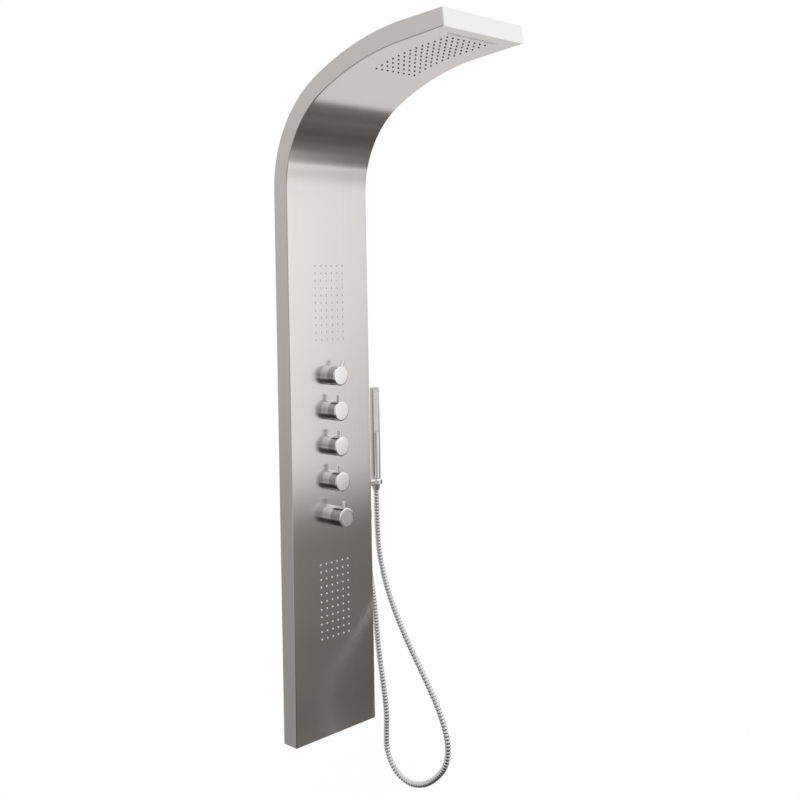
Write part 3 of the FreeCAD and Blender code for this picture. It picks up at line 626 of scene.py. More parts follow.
PANEL_SHADES = (0.665, 0.637, 0.617), (0.755, 0.726, 0.704)
PANEL_STEEL = brushed_steel("brushed_panel_steel", "grain", (2600, 14, 1), (160, 2, 1),
                            PANEL_SHADES, (0.14, 0.22), 0.000012, 0.8)
BRACKET_STEEL = brushed_steel("bracket_steel", None, (40, 1500, 1500), (8, 120, 120),
                              ((0.50, 0.50, 0.49), (0.60, 0.60, 0.585)), (0.26, 0.38), 0.00002, 0.0)
CHROME = polished("polished_chrome", (0.87, 0.865, 0.86), (0.03, 0.08))
BRASS = polished("bare_brass", (0.63, 0.47, 0.22), (0.26, 0.42), 60.0)
ZINC = polished("zinc_plated_steel", (0.62, 0.64, 0.66), (0.28, 0.42), 80.0)
# Darker chrome for the knobs' grips: a painted reflection of a darker room.
GRIP_PAINTED_REFLECTION = polished("grip_painted_reflection_chrome", (0.56, 0.555, 0.55), (0.10, 0.17))
SATIN = polished("satin_chrome", (0.74, 0.735, 0.73), (0.26, 0.34))
BRIGHT_SATIN = polished("bright_satin_chrome", (0.93, 0.925, 0.92), (0.28, 0.36))
HOSE_METAL = polished("chromed_hose", (0.78, 0.78, 0.785), (0.10, 0.17), 60.0)

# %% Finishes of plastic and silicone
SMUDGED_SHARE = 0.88


def moulded(name, colour, roughness, pit=0.00002, pit_size=2500.0):
    """Moulded plastic or silicone with a fine matt texture."""
    material, tree, shader = principled(name, colour, 0.0, roughness)
    vector = object_place(tree)
    smudges = placed(tree, SMUDGES, vector, Size=22.0)
    darker = tuple(channel * SMUDGED_SHARE for channel in colour)
    blended_colour(tree, shader, smudges.outputs["Mask"], colour, darker)
    pits = node(tree, "ShaderNodeTexNoise", vector, Scale=pit_size, Detail=2.0)
    bumped(tree, shader, pits.outputs["Fac"], pit)
    return material


# Dark silicone of the rain tips: a shaded copy of the tips' pale silicone, painted shade of the head's underside.
SHADED_SILICONE = moulded("shaded_dark_silicone", (0.10, 0.10, 0.10), 0.5)
JET_SILICONE = moulded("pale_silicone", (0.74, 0.74, 0.73), 0.45)
BOX_PLASTIC = moulded("box_plastic", (0.72, 0.72, 0.70), 0.45)
SPRAY_PLASTIC = moulded("pale_spray_plastic", (0.66, 0.66, 0.65), 0.3)
SPRAY_SILICONE = moulded("white_silicone", (0.92, 0.92, 0.91), 0.4)


# %% Braid of the inner hoses, and a finish for every slot
BRAID_STRANDS, BRAID_PITCH, BRAID_RELIEF = 12.0, 0.0045, 0.0004
# Share of the braid's colour where the strands dip: painted shade between the strands.
BRAID_SHADE_SHARE = 0.35


def braided(name, colour, roughness):
    """Steel braid: two sets of strands that cross, laid out by the tube's UV map; painted shade darkens where the
    strands dip.
    """
    material, tree, shader = principled(name, colour, 0.9, roughness)
    at = parts(tree, node(tree, "ShaderNodeUVMap", uv_map="unrolled").outputs[0])
    around = math_node(tree, "MULTIPLY", at["X"], BRAID_STRANDS)
    along = math_node(tree, "MULTIPLY", at["Y"], 1 / BRAID_PITCH)
    waves = [math_node(tree, "PINGPONG", math_node(tree, turn, around, along), 0.5)
             for turn in ("ADD", "SUBTRACT")]
    weave = math_node(tree, "MULTIPLY", math_node(tree, "MULTIPLY", *waves), 4.0)
    # Painted shade where the strands dip.
    strand_shade = tuple(channel * BRAID_SHADE_SHARE for channel in colour)
    blended_colour(tree, shader, weave, strand_shade, colour)
    bumped(tree, shader, weave, BRAID_RELIEF)
    return material


INNER_HOSE = braided("braided_inner_hose", (0.60, 0.61, 0.62), 0.38)

SLOT_MATERIALS = {
    "brushed_panel": PANEL_STEEL, "bracket_steel": BRACKET_STEEL, "chrome": CHROME,
    "hose_metal": HOSE_METAL, "silicone": SHADED_SILICONE, "box_plastic": BOX_PLASTIC,
    "inner_hose": INNER_HOSE, "brass": BRASS, "bolt_steel": ZINC,
    "spray_plastic": SPRAY_PLASTIC,
}


def dress_nodes():
    """Every carried-over node takes the finish of its slot in the record."""
    for part in frame["record"]["subparts"]:
        piece = nodes[part["node"]]
        piece.data.materials.clear()
        piece.data.materials.append(SLOT_MATERIALS[part["material_slot"]])


dress_nodes()
print("finishes:", len(SLOT_MATERIALS))

# %% [markdown]
# ## Mesh tools
#
# Three tools make most pieces. A turned piece is an outline carried round an axis, as on a
# lathe, and its corners are rounded first, because a real edge always catches a line of
# light. A bent sheet is a flat plan, in widths and distances along the sheet, that is laid
# on the folded line of the column. A ribbed tube is a row of rings along a path.

# %% Objects and rounded outlines
ON_AXIS = 1e-6


def make_object(name, vertices, faces, material, smooth=True):
    mesh = bpy.data.meshes.new(name)
    mesh.from_pydata([tuple(vertex) for vertex in vertices], [], faces)
    mesh.materials.append(material)
    for polygon in mesh.polygons:
        polygon.use_smooth = smooth
    made = bpy.data.objects.new(name, mesh)
    scene.collection.objects.link(made)
    return made


def joined(name, shapes, material):
    """One object from several lists of vertices and faces."""
    vertices, faces = [], []
    for points, sides in shapes:
        start = len(vertices)
        vertices += points
        faces += [tuple(start + number for number in side) for side in sides]
    return make_object(name, vertices, faces, material)


def rounded_outline(corners, steps=4):
    """Outline points; a corner is (radius, along, rounding)."""
    points = []
    count = len(corners)
    for number, (radius, along, rounding) in enumerate(corners):
        here = Vector((radius, along))
        if rounding <= 0 or number in (0, count - 1):
            points.append(here)
            continue
        before = Vector(corners[number - 1][:2]) - here
        after = Vector(corners[number + 1][:2]) - here
        half = before.angle(after) / 2
        reach = min(rounding / math.tan(half), before.length * 0.49, after.length * 0.49)
        size = reach * math.tan(half)
        inward = (before.normalized() + after.normalized()).normalized()
        centre = here + inward * (size / math.sin(half))
        first = here + before.normalized() * reach - centre
        turn = first.angle_signed(here + after.normalized() * reach - centre)
        for step in range(steps + 1):
            points.append(centre + Matrix.Rotation(-turn * step / steps, 2) @ first)
    return points


# %% Turned pieces
TURN_STEPS = 72


def frame_of(axis):
    """Two directions square to an axis."""
    axis = Vector(axis).normalized()
    side = Vector((1, 0, 0)) if abs(axis.x) < 0.9 else Vector((0, 0, 1))
    first = (side - axis * side.dot(axis)).normalized()
    return first, axis.cross(first)


def ring_faces(low, high):
    """Faces between two rings, either of which may be one point on the axis."""
    if len(low) == 1 and len(high) == 1:
        return []
    faces = []
    count = max(len(low), len(high))
    for step in range(count):
        after = (step + 1) % count
        if len(low) == 1:
            faces.append((low[0], high[after], high[step]))
        elif len(high) == 1:
            faces.append((low[step], low[after], high[0]))
        else:
            faces.append((low[step], low[after], high[after], high[step]))
    return faces


# A block's faces: its vertices are two quads, one above the other.
BLOCK_FACES = [(3, 2, 1, 0), (4, 5, 6, 7), *ring_faces([0, 1, 2, 3], [4, 5, 6, 7])]


def row_faces(rings):
    """Faces of a row of rings, each joined to the next."""
    faces = []
    for low, high in zip(rings, rings[1:]):
        faces += ring_faces(low, high)
    return faces


def carried_round(outline, sides, place):
    """Vertices and rings of (radius, along) points; place(radius, along, angle) sets each."""
    vertices, rings = [], []
    for radius, along in outline:
        count = sides if radius > ON_AXIS else 1
        rings.append(list(range(len(vertices), len(vertices) + count)))
        for step in range(count):
            vertices.append(place(radius, along, 2 * math.pi * step / sides))
    return vertices, rings


def face_outwards(mesh):
    work = bmesh.new()
    work.from_mesh(mesh)
    bmesh.ops.recalc_face_normals(work, faces=work.faces)
    work.to_mesh(mesh)
    work.free()


def sharpen(piece, degrees=32):
    """Face outwards, smooth by angle, and let large faces keep flat shading."""
    face_outwards(piece.data)
    piece.data.set_sharp_from_angle(angle=math.radians(degrees))
    weighted = piece.modifiers.new("weighted_normals", "WEIGHTED_NORMAL")
    weighted.keep_sharp = True


def turned(name, corners, base, axis, material, steps=TURN_STEPS):
    """Outline corners (radius, along, rounding) in mm, carried round an axis."""
    first, second = frame_of(axis)
    base, axis = Vector(base), Vector(axis).normalized()

    def place(radius, along, angle):
        out = first * math.cos(angle) + second * math.sin(angle)
        return base + axis * along * MM + out * radius * MM

    vertices, rings = carried_round(rounded_outline(corners), steps, place)
    faces = row_faces(rings)
    if len(rings[0]) > 1 and len(rings[-1]) > 1:
        faces += ring_faces(rings[-1], rings[0])
    piece = make_object(name, vertices, faces, material)
    sharpen(piece)
    return piece


# %% [markdown]
# ## The ribbed hose
#
# The hose is a fixed length of interlocked metal, so it is made before the rest. It leaves
# the elbow at the column's right side, hangs in one long loop towards the user and comes
# back up into the handset's conical nut. Its line is a smooth spline with the route's points
# as control points. A curve with a round bevel would be a plain tube, so the ribs are rings
# on that line, with one side steeper than the other.

# %% Route of the hose
HOSE_ROUTE_MM = [
    (165, -18, -614), (165, -18, -690), (165, -24, -773), (163, -56, -864),
    (160, -114, -956), (158, -179, -1041), (156, -226, -1111), (154, -248, -1172),
    (153, -240, -1220), (152, -210, -1256), (151, -170, -1284), (150, -122, -1293),
    (149, -79, -1274), (148, -54, -1234), (147, -56, -1187), (146, -59, -1140),
    (145, -51, -1078), (142, -38, -990), (140, -31, -886), (140, -12, -779),
    (140, -12, -684),
]
HOSE_RADIUS = 0.0070
HOSE_VALLEY = 0.0056
HOSE_SHOULDER = 0.0066
HOSE_RIB_PITCH = 0.0074
HOSE_BORE_RADIUS = 0.0045
HOSE_BORE_STEPS = 60
WAY_REACH = 0.002
# One rib: (share of the pitch, radius), with the steeper side first.
HOSE_RIB = [(0.0, HOSE_VALLEY), (0.26, HOSE_VALLEY), (0.36, HOSE_SHOULDER), (0.44, HOSE_RADIUS),
            (0.70, HOSE_RADIUS), (0.82, HOSE_SHOULDER), (0.94, HOSE_VALLEY)]
# The part of the hose that the lifted handset draws up starts at the front of the loop.
SPLIT_HEIGHT = -1.165
CORD_STEPS = 160


def spline_points(route_mm):
    """Points of the smooth line that has the route's points as its control points."""
    data = bpy.data.curves.new("hose_line", "CURVE")
    data.dimensions = "3D"
    data.resolution_u = 24
    spline = data.splines.new("NURBS")
    spline.points.add(len(route_mm) - 1)
    for point, place in zip(spline.points, route_mm):
        point.co = (*(value * MM for value in place), 1)
    spline.order_u = 3
    spline.use_endpoint_u = True
    line = bpy.data.objects.new("hose_line", data)
    scene.collection.objects.link(line)
    mesh = bpy.data.meshes.new_from_object(line)
    points = [vertex.co.copy() for vertex in mesh.vertices]
    bpy.data.objects.remove(line)
    return points


class Path:
    """Even reading of a line of points by distance along it."""

    def __init__(self, points):
        self.points = points
        self.marks = [0.0]
        for before, after in zip(points, points[1:]):
            self.marks.append(self.marks[-1] + (after - before).length)
        self.length = self.marks[-1]

    def at(self, distance):
        """Point and direction at a distance."""
        distance = min(max(distance, 0.0), self.length)
        number = 1
        while number < len(self.marks) - 1 and self.marks[number] < distance:
            number += 1
        low, high = self.marks[number - 1], self.marks[number]
        share = (distance - low) / (high - low)
        before, after = self.points[number - 1:number + 1]
        return before.lerp(after, share), (after - before).normalized()


def ring_tube(name, path, profile, material, steps=24, side=(1, 0, 0)):
    """Tube through rings; profile is a list of (distance, radius) along the path."""
    side = Vector(side)
    vertices = []
    for distance, radius in profile:
        centre = path.at(distance)[0]
        ways = [path.at(distance + offset)[1] for offset in (-WAY_REACH, WAY_REACH)]
        way = (ways[0] + ways[1]).normalized()
        first = (side - way * side.dot(way)).normalized()
        second = way.cross(first)
        for step in range(steps):
            angle = 2 * math.pi * step / steps
            out = first * math.cos(angle) + second * math.sin(angle)
            vertices.append(centre + out * radius)
    rings = [list(range(start, start + steps)) for start in range(0, len(vertices), steps)]
    return make_object(name, vertices, row_faces(rings + rings[:1]), material)


def ribbed_profile(start, end, ribs):
    """Ribs from start to end, closed by a plain bore back to the start."""
    pitch = (end - start) / ribs
    profile = [(start, HOSE_BORE_RADIUS)]
    for rib in range(ribs):
        profile += [(start + (rib + share) * pitch, radius) for share, radius in HOSE_RIB]
    profile += [(end, HOSE_VALLEY), (end, HOSE_BORE_RADIUS)]
    for step in range(1, HOSE_BORE_STEPS):
        profile.append((end + (start - end) * step / HOSE_BORE_STEPS, HOSE_BORE_RADIUS))
    return profile


hose_path = Path(spline_points(HOSE_ROUTE_MM[::-1]))
split = max(mark for mark, point in zip(hose_path.marks, hose_path.points)
            if point.z < SPLIT_HEIGHT)
rib_count = round(hose_path.length / HOSE_RIB_PITCH)
lower_ribs = round(rib_count * split / hose_path.length)
split = hose_path.length * lower_ribs / rib_count
hose_pieces = []
for name, start, end, ribs in (
    ("hose_loop", 0.0, split, lower_ribs),
    ("hose_rise", split, hose_path.length, rib_count - lower_ribs),
):
    piece = ring_tube(name, hose_path, ribbed_profile(start, end, ribs), HOSE_METAL)
    sharpen(piece, 60)
    points = [hose_path.at(start + (end - start) * step / CORD_STEPS)[0]
              for step in range(CORD_STEPS + 1)]
    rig.cord(piece, exit=points[0], length=end - start, diameter=2 * HOSE_RADIUS, far_end="object",
            stiffness="medium", lay="hanging", path=points)
    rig.replaces(piece, "shower_hose")
    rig.slot(piece, "hose_metal")
    hose_pieces.append(piece)
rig.ride(hose_pieces[0], "root")
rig.blend(hose_pieces[1], "root", "handset", start=(0.16, -0.2, -1.15), end=(0.16, -0.2, -0.66))
print("hose:", round(hose_path.length, 3), "m,", rib_count, "ribs, split at", round(split, 3))

# %% [markdown]
# ## The folded sheet
#
# The column, the arch and the underside of the head are one sheet of steel. It is bent once
# across its width, in a tight arch that opens into a slow sweep, and folded back along both
# sides into flanges. A plan in millimetres, x across and distance along the sheet, is easier
# to draw than the arch itself, so every vertex starts as a plan point and is laid on the bent
# line. A UV map holds the same plan, and the grain of the brushing follows it round the bend.

# %% The bent line of the column
PANEL_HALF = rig.box("front_panel")[1].x / MM
PANEL_DEPTH = 42.0
FOOT_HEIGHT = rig.box("front_panel")[0].z / MM
COLUMN_HEIGHT = 1250.0
BEND_RADIUS, BEND_ANGLE = 225.0, math.radians(61.6)
SWEEP_RADIUS, SWEEP_ANGLE = 614.0, math.radians(23.1)
HEAD_STRAIGHT = 120.0
HEAD_THICKNESS = 38.0
SHEET = 1.5
FOLD_RADIUS = 2.5
BEND_START = COLUMN_HEIGHT
SWEEP_START = BEND_START + BEND_ANGLE * BEND_RADIUS
HEAD_START = SWEEP_START + SWEEP_ANGLE * SWEEP_RADIUS
TIP = HEAD_START + HEAD_STRAIGHT
# Runs of the face line: start, end, bend radius, and the step of the grid on it.
RUNS = [
    (0.0, BEND_START, None, 45.0), (BEND_START, SWEEP_START, BEND_RADIUS, 4.0),
    (SWEEP_START, HEAD_START, SWEEP_RADIUS, 8.5), (HEAD_START, TIP, None, 10.0),
]


def line_at(distance):
    """Place (y, z) in mm and lean of the face line at a distance from the foot."""
    y, z, lean = -PANEL_DEPTH, FOOT_HEIGHT, 0.0
    for start, end, radius, _ in RUNS:
        step = (distance if end == TIP else min(distance, end)) - start
        if radius is None:
            y -= step * math.sin(lean)
            z += step * math.cos(lean)
        else:
            turn = step / radius
            y += radius * (math.cos(lean + turn) - math.cos(lean))
            z += radius * (math.sin(lean + turn) - math.sin(lean))
            lean += turn
        if distance <= end:
            break
    return y, z, lean


def bent(x, distance, inset):
    """Plan point to metres in the frame; inset is measured square to the face, inwards."""
    y, z, lean = line_at(distance)
    return Vector((x, y + inset * math.cos(lean), z + inset * math.sin(lean))) * MM


def depth_at(distance):
    """Depth of the flanges, which taper towards the tip."""
    share = min(max((distance - HEAD_START) / HEAD_STRAIGHT, 0.0), 1.0)
    return PANEL_DEPTH + (HEAD_THICKNESS - PANEL_DEPTH) * share


print("sheet length along the face:", round(TIP, 1), "mm")

# %% Spray fields in the plan
NOZZLE_PITCH = 17.0
HOLE_RADIUS = 2.25
HOLE_CHAMFER = 0.3
RAIN_COLUMNS, RAIN_ROWS, RAIN_TIP_DISTANCE = 8, 13, 47.0
JET_COLUMNS, JET_ROWS = 6, 11
UPPER_JET_HEIGHT, LOWER_JET_HEIGHT = -156.0, -840.0


def field(columns, rows, first):
    """Nozzle places (x, distance) of one field, row by row."""
    left = -(columns - 1) * NOZZLE_PITCH / 2
    return [(left + column * NOZZLE_PITCH, first + row * NOZZLE_PITCH)
            for row in range(rows) for column in range(columns)]


def jet_first(height):
    return height - FOOT_HEIGHT - (JET_ROWS - 1) * NOZZLE_PITCH / 2


RAIN_FIRST = TIP - RAIN_TIP_DISTANCE - (RAIN_ROWS - 1) * NOZZLE_PITCH
FIELDS = {
    "rain": field(RAIN_COLUMNS, RAIN_ROWS, RAIN_FIRST),
    "upper_jet": field(JET_COLUMNS, JET_ROWS, jet_first(UPPER_JET_HEIGHT)),
    "lower_jet": field(JET_COLUMNS, JET_ROWS, jet_first(LOWER_JET_HEIGHT)),
}
print({name: len(points) for name, points in FIELDS.items()}, "nozzles")

# %% Lines of the plan's grid
FLANGE_SHARES = (1.0, 0.66, 0.33)
FOLD_DEGREES = (0, 18, 36, 54, 72)
FACE_MARGINS = (83, 98, 112)


def spread_steps(start, end, step):
    """Even marks from start up to, but not including, end."""
    count = max(1, math.ceil((end - start) / step - 1e-6))
    return [start + (end - start) * number / count for number in range(count)]


def across_lines():
    """Profile points as (side, kind, value) from one flange to the other."""
    left = [(-1, "flange", share) for share in FLANGE_SHARES]
    left += [(-1, "fold", degrees) for degrees in FOLD_DEGREES]
    half_pitch = NOZZLE_PITCH / 2
    cells = [half_pitch * number for number in range(-RAIN_COLUMNS, RAIN_COLUMNS + 1)]
    margin = [*FACE_MARGINS, PANEL_HALF - FOLD_RADIUS]
    face = [-x for x in reversed(margin)] + cells + margin
    right = [(1, kind, value) for _, kind, value in reversed(left)]
    return left + [(0, "face", x) for x in face] + right


def along_lines():
    """Distances of the grid's rows: field cells exactly, and fine steps round the bends."""
    half_pitch = NOZZLE_PITCH / 2
    spans = []
    for points in FIELDS.values():
        low, high = points[0][1] - half_pitch, points[-1][1] + half_pitch
        spans.append((low, high, half_pitch))
    spans.sort()
    marks = []
    place = 0.0
    for low, high, step in spans + [(TIP, TIP, 1.0)]:
        for start, end, _, fine in RUNS:
            first, last = max(place, start), min(low, end)
            if last > first + 1e-6:
                marks += spread_steps(first, last, fine)
        marks += spread_steps(low, high, step) if high > low else []
        place = high
    return marks + [TIP]


def profile_point(entry, distance, inner):
    """Plan place (x, inset) of a profile entry on the outer or the inner skin."""
    side, kind, value = entry
    edge = PANEL_HALF - FOLD_RADIUS
    radius = FOLD_RADIUS - SHEET if inner else FOLD_RADIUS
    if kind == "face":
        return value, SHEET if inner else 0.0
    if kind == "fold":
        angle = math.radians(value)
        return side * (edge + radius * math.cos(angle)), FOLD_RADIUS - radius * math.sin(angle)
    inset = FOLD_RADIUS + (depth_at(distance) - FOLD_RADIUS) * value
    return side * (edge + radius), inset


# %% Sheet with a round, slightly countersunk hole in each cell
HOLE_SIDES = 16
HOLE_RINGS = ((HOLE_RADIUS + HOLE_CHAMFER, 0.0), (HOLE_RADIUS, HOLE_CHAMFER),
              (HOLE_RADIUS, SHEET))
CELL_BORDER = [(-1, -1), (-1, 0), (-1, 1), (0, 1), (1, 1), (1, 0), (1, -1), (0, -1)]


def sheet_skins():
    """Vertices, faces and plan coordinates of the folded sheet with its nozzle holes."""
    across, along = across_lines(), along_lines()
    vertices, plan, faces = [], [], []

    def add(x, distance, inset, u=None):
        vertices.append(bent(x, distance, inset))
        plan.append(((x if u is None else u) * MM, distance * MM))
        return len(vertices) - 1

    grids = []
    for inner in (False, True):
        grid = []
        for distance in along:
            row = []
            for entry in across:
                x, inset = profile_point(entry, distance, inner)
                wrap = entry[0] * (inset if entry[1] == "flange" else 0)
                row.append(add(x, distance, inset, x + wrap))
            grid.append(row)
        grids.append(grid)
    holes = {(round(x, 3), round(distance, 3))
             for points in FIELDS.values() for x, distance in points}
    centre_of = {}
    for row, distance in enumerate(along):
        for column, (_, kind, x) in enumerate(across):
            if kind == "face" and (round(x, 3), round(distance, 3)) in holes:
                centre_of[(row, column)] = (x, distance)
    taken = {(row + down, column + left)
             for row, column in centre_of for down in (-1, 0) for left in (-1, 0)}
    for inner, grid in enumerate(grids):
        for row in range(len(along) - 1):
            for column in range(len(across) - 1):
                if (row, column) in taken:
                    continue
                quad = (grid[row][column], grid[row][column + 1], grid[row + 1][column + 1],
                        grid[row + 1][column])
                faces.append(quad if not inner else quad[::-1])
    for (row, column), (x, distance) in centre_of.items():
        faces += hole_faces(grids, row, column, x, distance, add)
    faces += rim_faces(grids)
    return vertices, faces, plan


def hole_faces(grids, row, column, x, distance, add):
    """Faces of one cell on both skins and of the wall of its hole."""
    rings = []
    for radius, inset in HOLE_RINGS:
        ring = []
        for side in range(HOLE_SIDES):
            angle = math.radians(-135) + 2 * math.pi * side / HOLE_SIDES
            place = x + radius * math.cos(angle), distance + radius * math.sin(angle)
            ring.append(add(*place, inset))
        rings.append(ring)
    faces = []
    for grid, ring, inner in ((grids[0], rings[0], False), (grids[1], rings[2], True)):
        border = [grid[row + down][column + left] for down, left in CELL_BORDER]
        for number, first in enumerate(border):
            second = border[(number + 1) % 8]
            near, middle, far = (ring[(2 * number + step) % HOLE_SIDES] for step in range(3))
            pair = [(first, middle, near), (first, second, far, middle)]
            faces += [face[::-1] for face in pair] if inner else pair
    return faces + row_faces(rings)


def rim_faces(grids):
    """The sheet's cut edges: both long flange edges, the foot and the tip."""
    outer, inner = grids
    faces = []
    for column in (0, -1):
        for row in range(len(outer) - 1):
            faces.append((outer[row][column], outer[row + 1][column],
                          inner[row + 1][column], inner[row][column]))
    for row in (0, -1):
        for column in range(len(outer[0]) - 1):
            faces.append((outer[row][column], outer[row][column + 1],
                          inner[row][column + 1], inner[row][column]))
    return faces


def plan_uv(piece, plan):
    """Lay the plan on the mesh as the UV map that the grain follows."""
    layer = piece.data.uv_layers.new(name="grain")
    for loop in piece.data.loops:
        layer.data[loop.index].uv = plan[loop.vertex_index]


# %% Cut the openings for valves, waterfall, bolt and hose outlet
KNOB_HEIGHTS = [-324.0 - 81.0 * number for number in range(5)]
NECK_HOLE_RADIUS = 12.3
SLOT_LENGTH, SLOT_WIDTH, SLOT_TIP_DISTANCE = 150.0, 8.0, 30.0
BOLT_PLACE, BOLT_HOLE_RADIUS = (-18.0, -594.5), 4.1
OUTLET_PLACE, OUTLET_HOLE_RADIUS = (-12.0, -640.0), 9.8
CUTTER_SIDES = 48


def cylinder_cutter(centre, axis, radius, length):
    """Closed cylinder, given in mm, as vertices in metres and faces."""
    first, second = frame_of(axis)
    centre, axis = Vector(centre) * MM, Vector(axis)
    vertices = []
    for end in (-0.5, 0.5):
        for step in range(CUTTER_SIDES):
            angle = 2 * math.pi * step / CUTTER_SIDES
            out = first * math.cos(angle) + second * math.sin(angle)
            vertices.append(centre + (axis * length * end + out * radius) * MM)
    low, high = list(range(CUTTER_SIDES)), list(range(CUTTER_SIDES, 2 * CUTTER_SIDES))
    return vertices, ring_faces(low, high) + [tuple(low[::-1]), tuple(high)]


def slot_cutter():
    """Closed box across the sheet, for the waterfall slot."""
    corners = []
    middle = TIP - SLOT_TIP_DISTANCE
    for inset in (-4.0, SHEET + 4.0):
        for x, along in ((-1, -1), (1, -1), (1, 1), (-1, 1)):
            place = x * SLOT_LENGTH / 2, middle + along * SLOT_WIDTH / 2
            corners.append(bent(*place, inset))
    return corners, BLOCK_FACES


def cut(piece, cutters):
    """Subtract closed shapes, all at once, and apply the result."""
    tool = joined("cutter", cutters, PANEL_STEEL)
    face_outwards(tool.data)
    boolean = piece.modifiers.new("cut", "BOOLEAN")
    boolean.operation, boolean.solver, boolean.object = "DIFFERENCE", "EXACT", tool
    bpy.context.view_layer.update()
    result = piece.evaluated_get(bpy.context.evaluated_depsgraph_get())
    finished = bpy.data.meshes.new_from_object(result)
    piece.modifiers.remove(boolean)
    piece.data = finished
    bpy.data.objects.remove(tool)


def folded_panel():
    vertices, faces, plan = sheet_skins()
    panel = make_object("panel_sheet", vertices, faces, PANEL_STEEL)
    plan_uv(panel, plan)
    face_outwards(panel.data)
    cutters = [cylinder_cutter((0, -PANEL_DEPTH, height), (0, 1, 0), NECK_HOLE_RADIUS, 12)
               for height in KNOB_HEIGHTS]
    side = PANEL_HALF - SHEET / 2
    for place, radius in ((BOLT_PLACE, BOLT_HOLE_RADIUS), (OUTLET_PLACE, OUTLET_HOLE_RADIUS)):
        cutters.append(cylinder_cutter((side, *place), (1, 0, 0), radius, 8))
    cutters.append(slot_cutter())
    cut(panel, cutters)
    sharpen(panel, 28)
    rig.replaces(panel, "front_panel")
    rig.slot(panel, "brushed_panel")
    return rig.ride(panel, "root")


panel = folded_panel()
print("panel:", len(panel.data.vertices), "vertices")

# %% Back cover of the arch
COVER_SHEET = 1.2
COVER_START, COVER_STEP = 1200.0, 20.0
COVER_GAP = 0.05


def arch_cover():
    """Plain bent strip between the flanges."""
    half = PANEL_HALF - SHEET - COVER_GAP
    across = (-half, -half / 3, half / 3, half)
    section = [(x, 0.0) for x in across] + [(x, COVER_SHEET) for x in reversed(across)]
    marks = [mark for mark in along_lines() if mark > COVER_START + 1]
    marks = spread_steps(COVER_START, marks[0], COVER_STEP) + marks
    vertices, plan, rows = [], [], []
    for distance in marks:
        rows.append(list(range(len(vertices), len(vertices) + len(section))))
        for x, thickness in section:
            vertices.append(bent(x, distance, depth_at(distance) - thickness))
            plan.append((x * MM, distance * MM))
    faces = row_faces(rows)
    for row in (rows[0], rows[-1]):
        faces += [(row[near], row[near + 1], row[6 - near], row[7 - near]) for near in range(3)]
    cover = make_object("arch_cover", vertices, faces, PANEL_STEEL)
    plan_uv(cover, plan)
    sharpen(cover, 28)
    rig.replaces(cover, "arm_cover")
    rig.slot(cover, "brushed_panel")
    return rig.ride(cover, "root")


cover = arch_cover()
print("cover:", len(cover.data.vertices), "vertices")

# %% [markdown]
# ## Nozzle mats
#
# Each field is one silicone mat behind the steel, with soft tips that stand 1.5 mm proud of
# their holes. A tip is a small round form with a softened rim and a fine hole, and the dark
# ring round it is the real gap to the steel. An array of one tip would not follow the arch,
# so every tip is laid on the bent line by itself, square to the sheet.

# %% Silicone mats with round tips
TIP_SIDES = 14
# Points (radius, inset) from inside the sheet over the rim into the fine hole.
TIP_OUTLINE = [(1.9, SHEET - 0.1), (1.9, -1.1), (1.78, -1.36), (1.5, -1.5), (0.6, -1.5),
               (0.45, -1.3), (0.0, -1.0)]
MAT_DEPTH = 3.0
MAT_MARGIN = 7.0


def bent_bar(start, end, left, right):
    """Mat behind the sheet, between two distances and two places across."""
    marks = spread_steps(start, end, NOZZLE_PITCH / 2) + [end]
    vertices = []
    for distance in marks:
        for x, inset in ((left, 0), (right, 0), (right, MAT_DEPTH), (left, MAT_DEPTH)):
            vertices.append(bent(x, distance, SHEET + inset))
    rings = [list(range(first, first + 4)) for first in range(0, len(vertices), 4)]
    return vertices, row_faces(rings) + [tuple(rings[0][::-1]), tuple(rings[-1])]


def nozzle_tip(x, distance):
    def place(radius, inset, angle):
        across, along = radius * math.cos(angle), radius * math.sin(angle)
        return bent(x + across, distance + along, inset)

    vertices, rings = carried_round(TIP_OUTLINE, TIP_SIDES, place)
    return vertices, row_faces(rings)


def silicone_mat(name, points, material, replaced):
    (left, first), (right, last) = points[0], points[-1]
    shapes = [bent_bar(first - MAT_MARGIN, last + MAT_MARGIN, left - MAT_MARGIN,
                       right + MAT_MARGIN)]
    shapes += [nozzle_tip(*point) for point in points]
    mat = joined(name, shapes, material)
    sharpen(mat, 40)
    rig.replaces(mat, replaced)
    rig.slot(mat, "silicone")
    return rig.ride(mat, "root")


# The rain tips take the dark copy, as painted shade under the head.
silicone_mat("rain_tips", FIELDS["rain"], SHADED_SILICONE, "rain_nozzle_mat")
silicone_mat("upper_jet_tips", FIELDS["upper_jet"], JET_SILICONE, "upper_jet_mat")
silicone_mat("lower_jet_tips", FIELDS["lower_jet"], JET_SILICONE, "lower_jet_mat")
print("tips:", sum(len(points) for points in FIELDS.values()))

# %% [markdown]
# ## Braided hoses inside
#
# Behind the sheet, short hoses with a steel braid carry the water from the valve body to the
# spray boxes, the waterfall slot and the elbow. Each one ends in a crimped ferrule. They keep
# the lines of the construction. Strands in mesh would cost far more faces than they show, so
# a UV map unrolls the tube and the finish weaves the braid on it.

# %% Braided hoses with ferrules
INNER_RADIUS, INNER_BORE, BRAID_RADIUS = 5.4, 3.2, 4.9
INNER_SIDES, INNER_STEP = 24, 0.006
FERRULE_LENGTH, FERRULE_EDGE = 13.0, 0.3
GROOVES, GROOVE_DEPTH = (3.4, 8.0), 0.4
INNER_INSET = 20.5
VALVE_TOP, VALVE_FOOT = -299.0, -673.0
UPPER_JET_INLET, LOWER_JET_INLET = -248.0, -748.0
SLOT_INLET = TIP - 39.0
FEED_START, FEED_LENGTH = 17.0, 94.5
RISER_SIDE, RISER_STEP, LINE_STEPS = 24.0, 6, 8


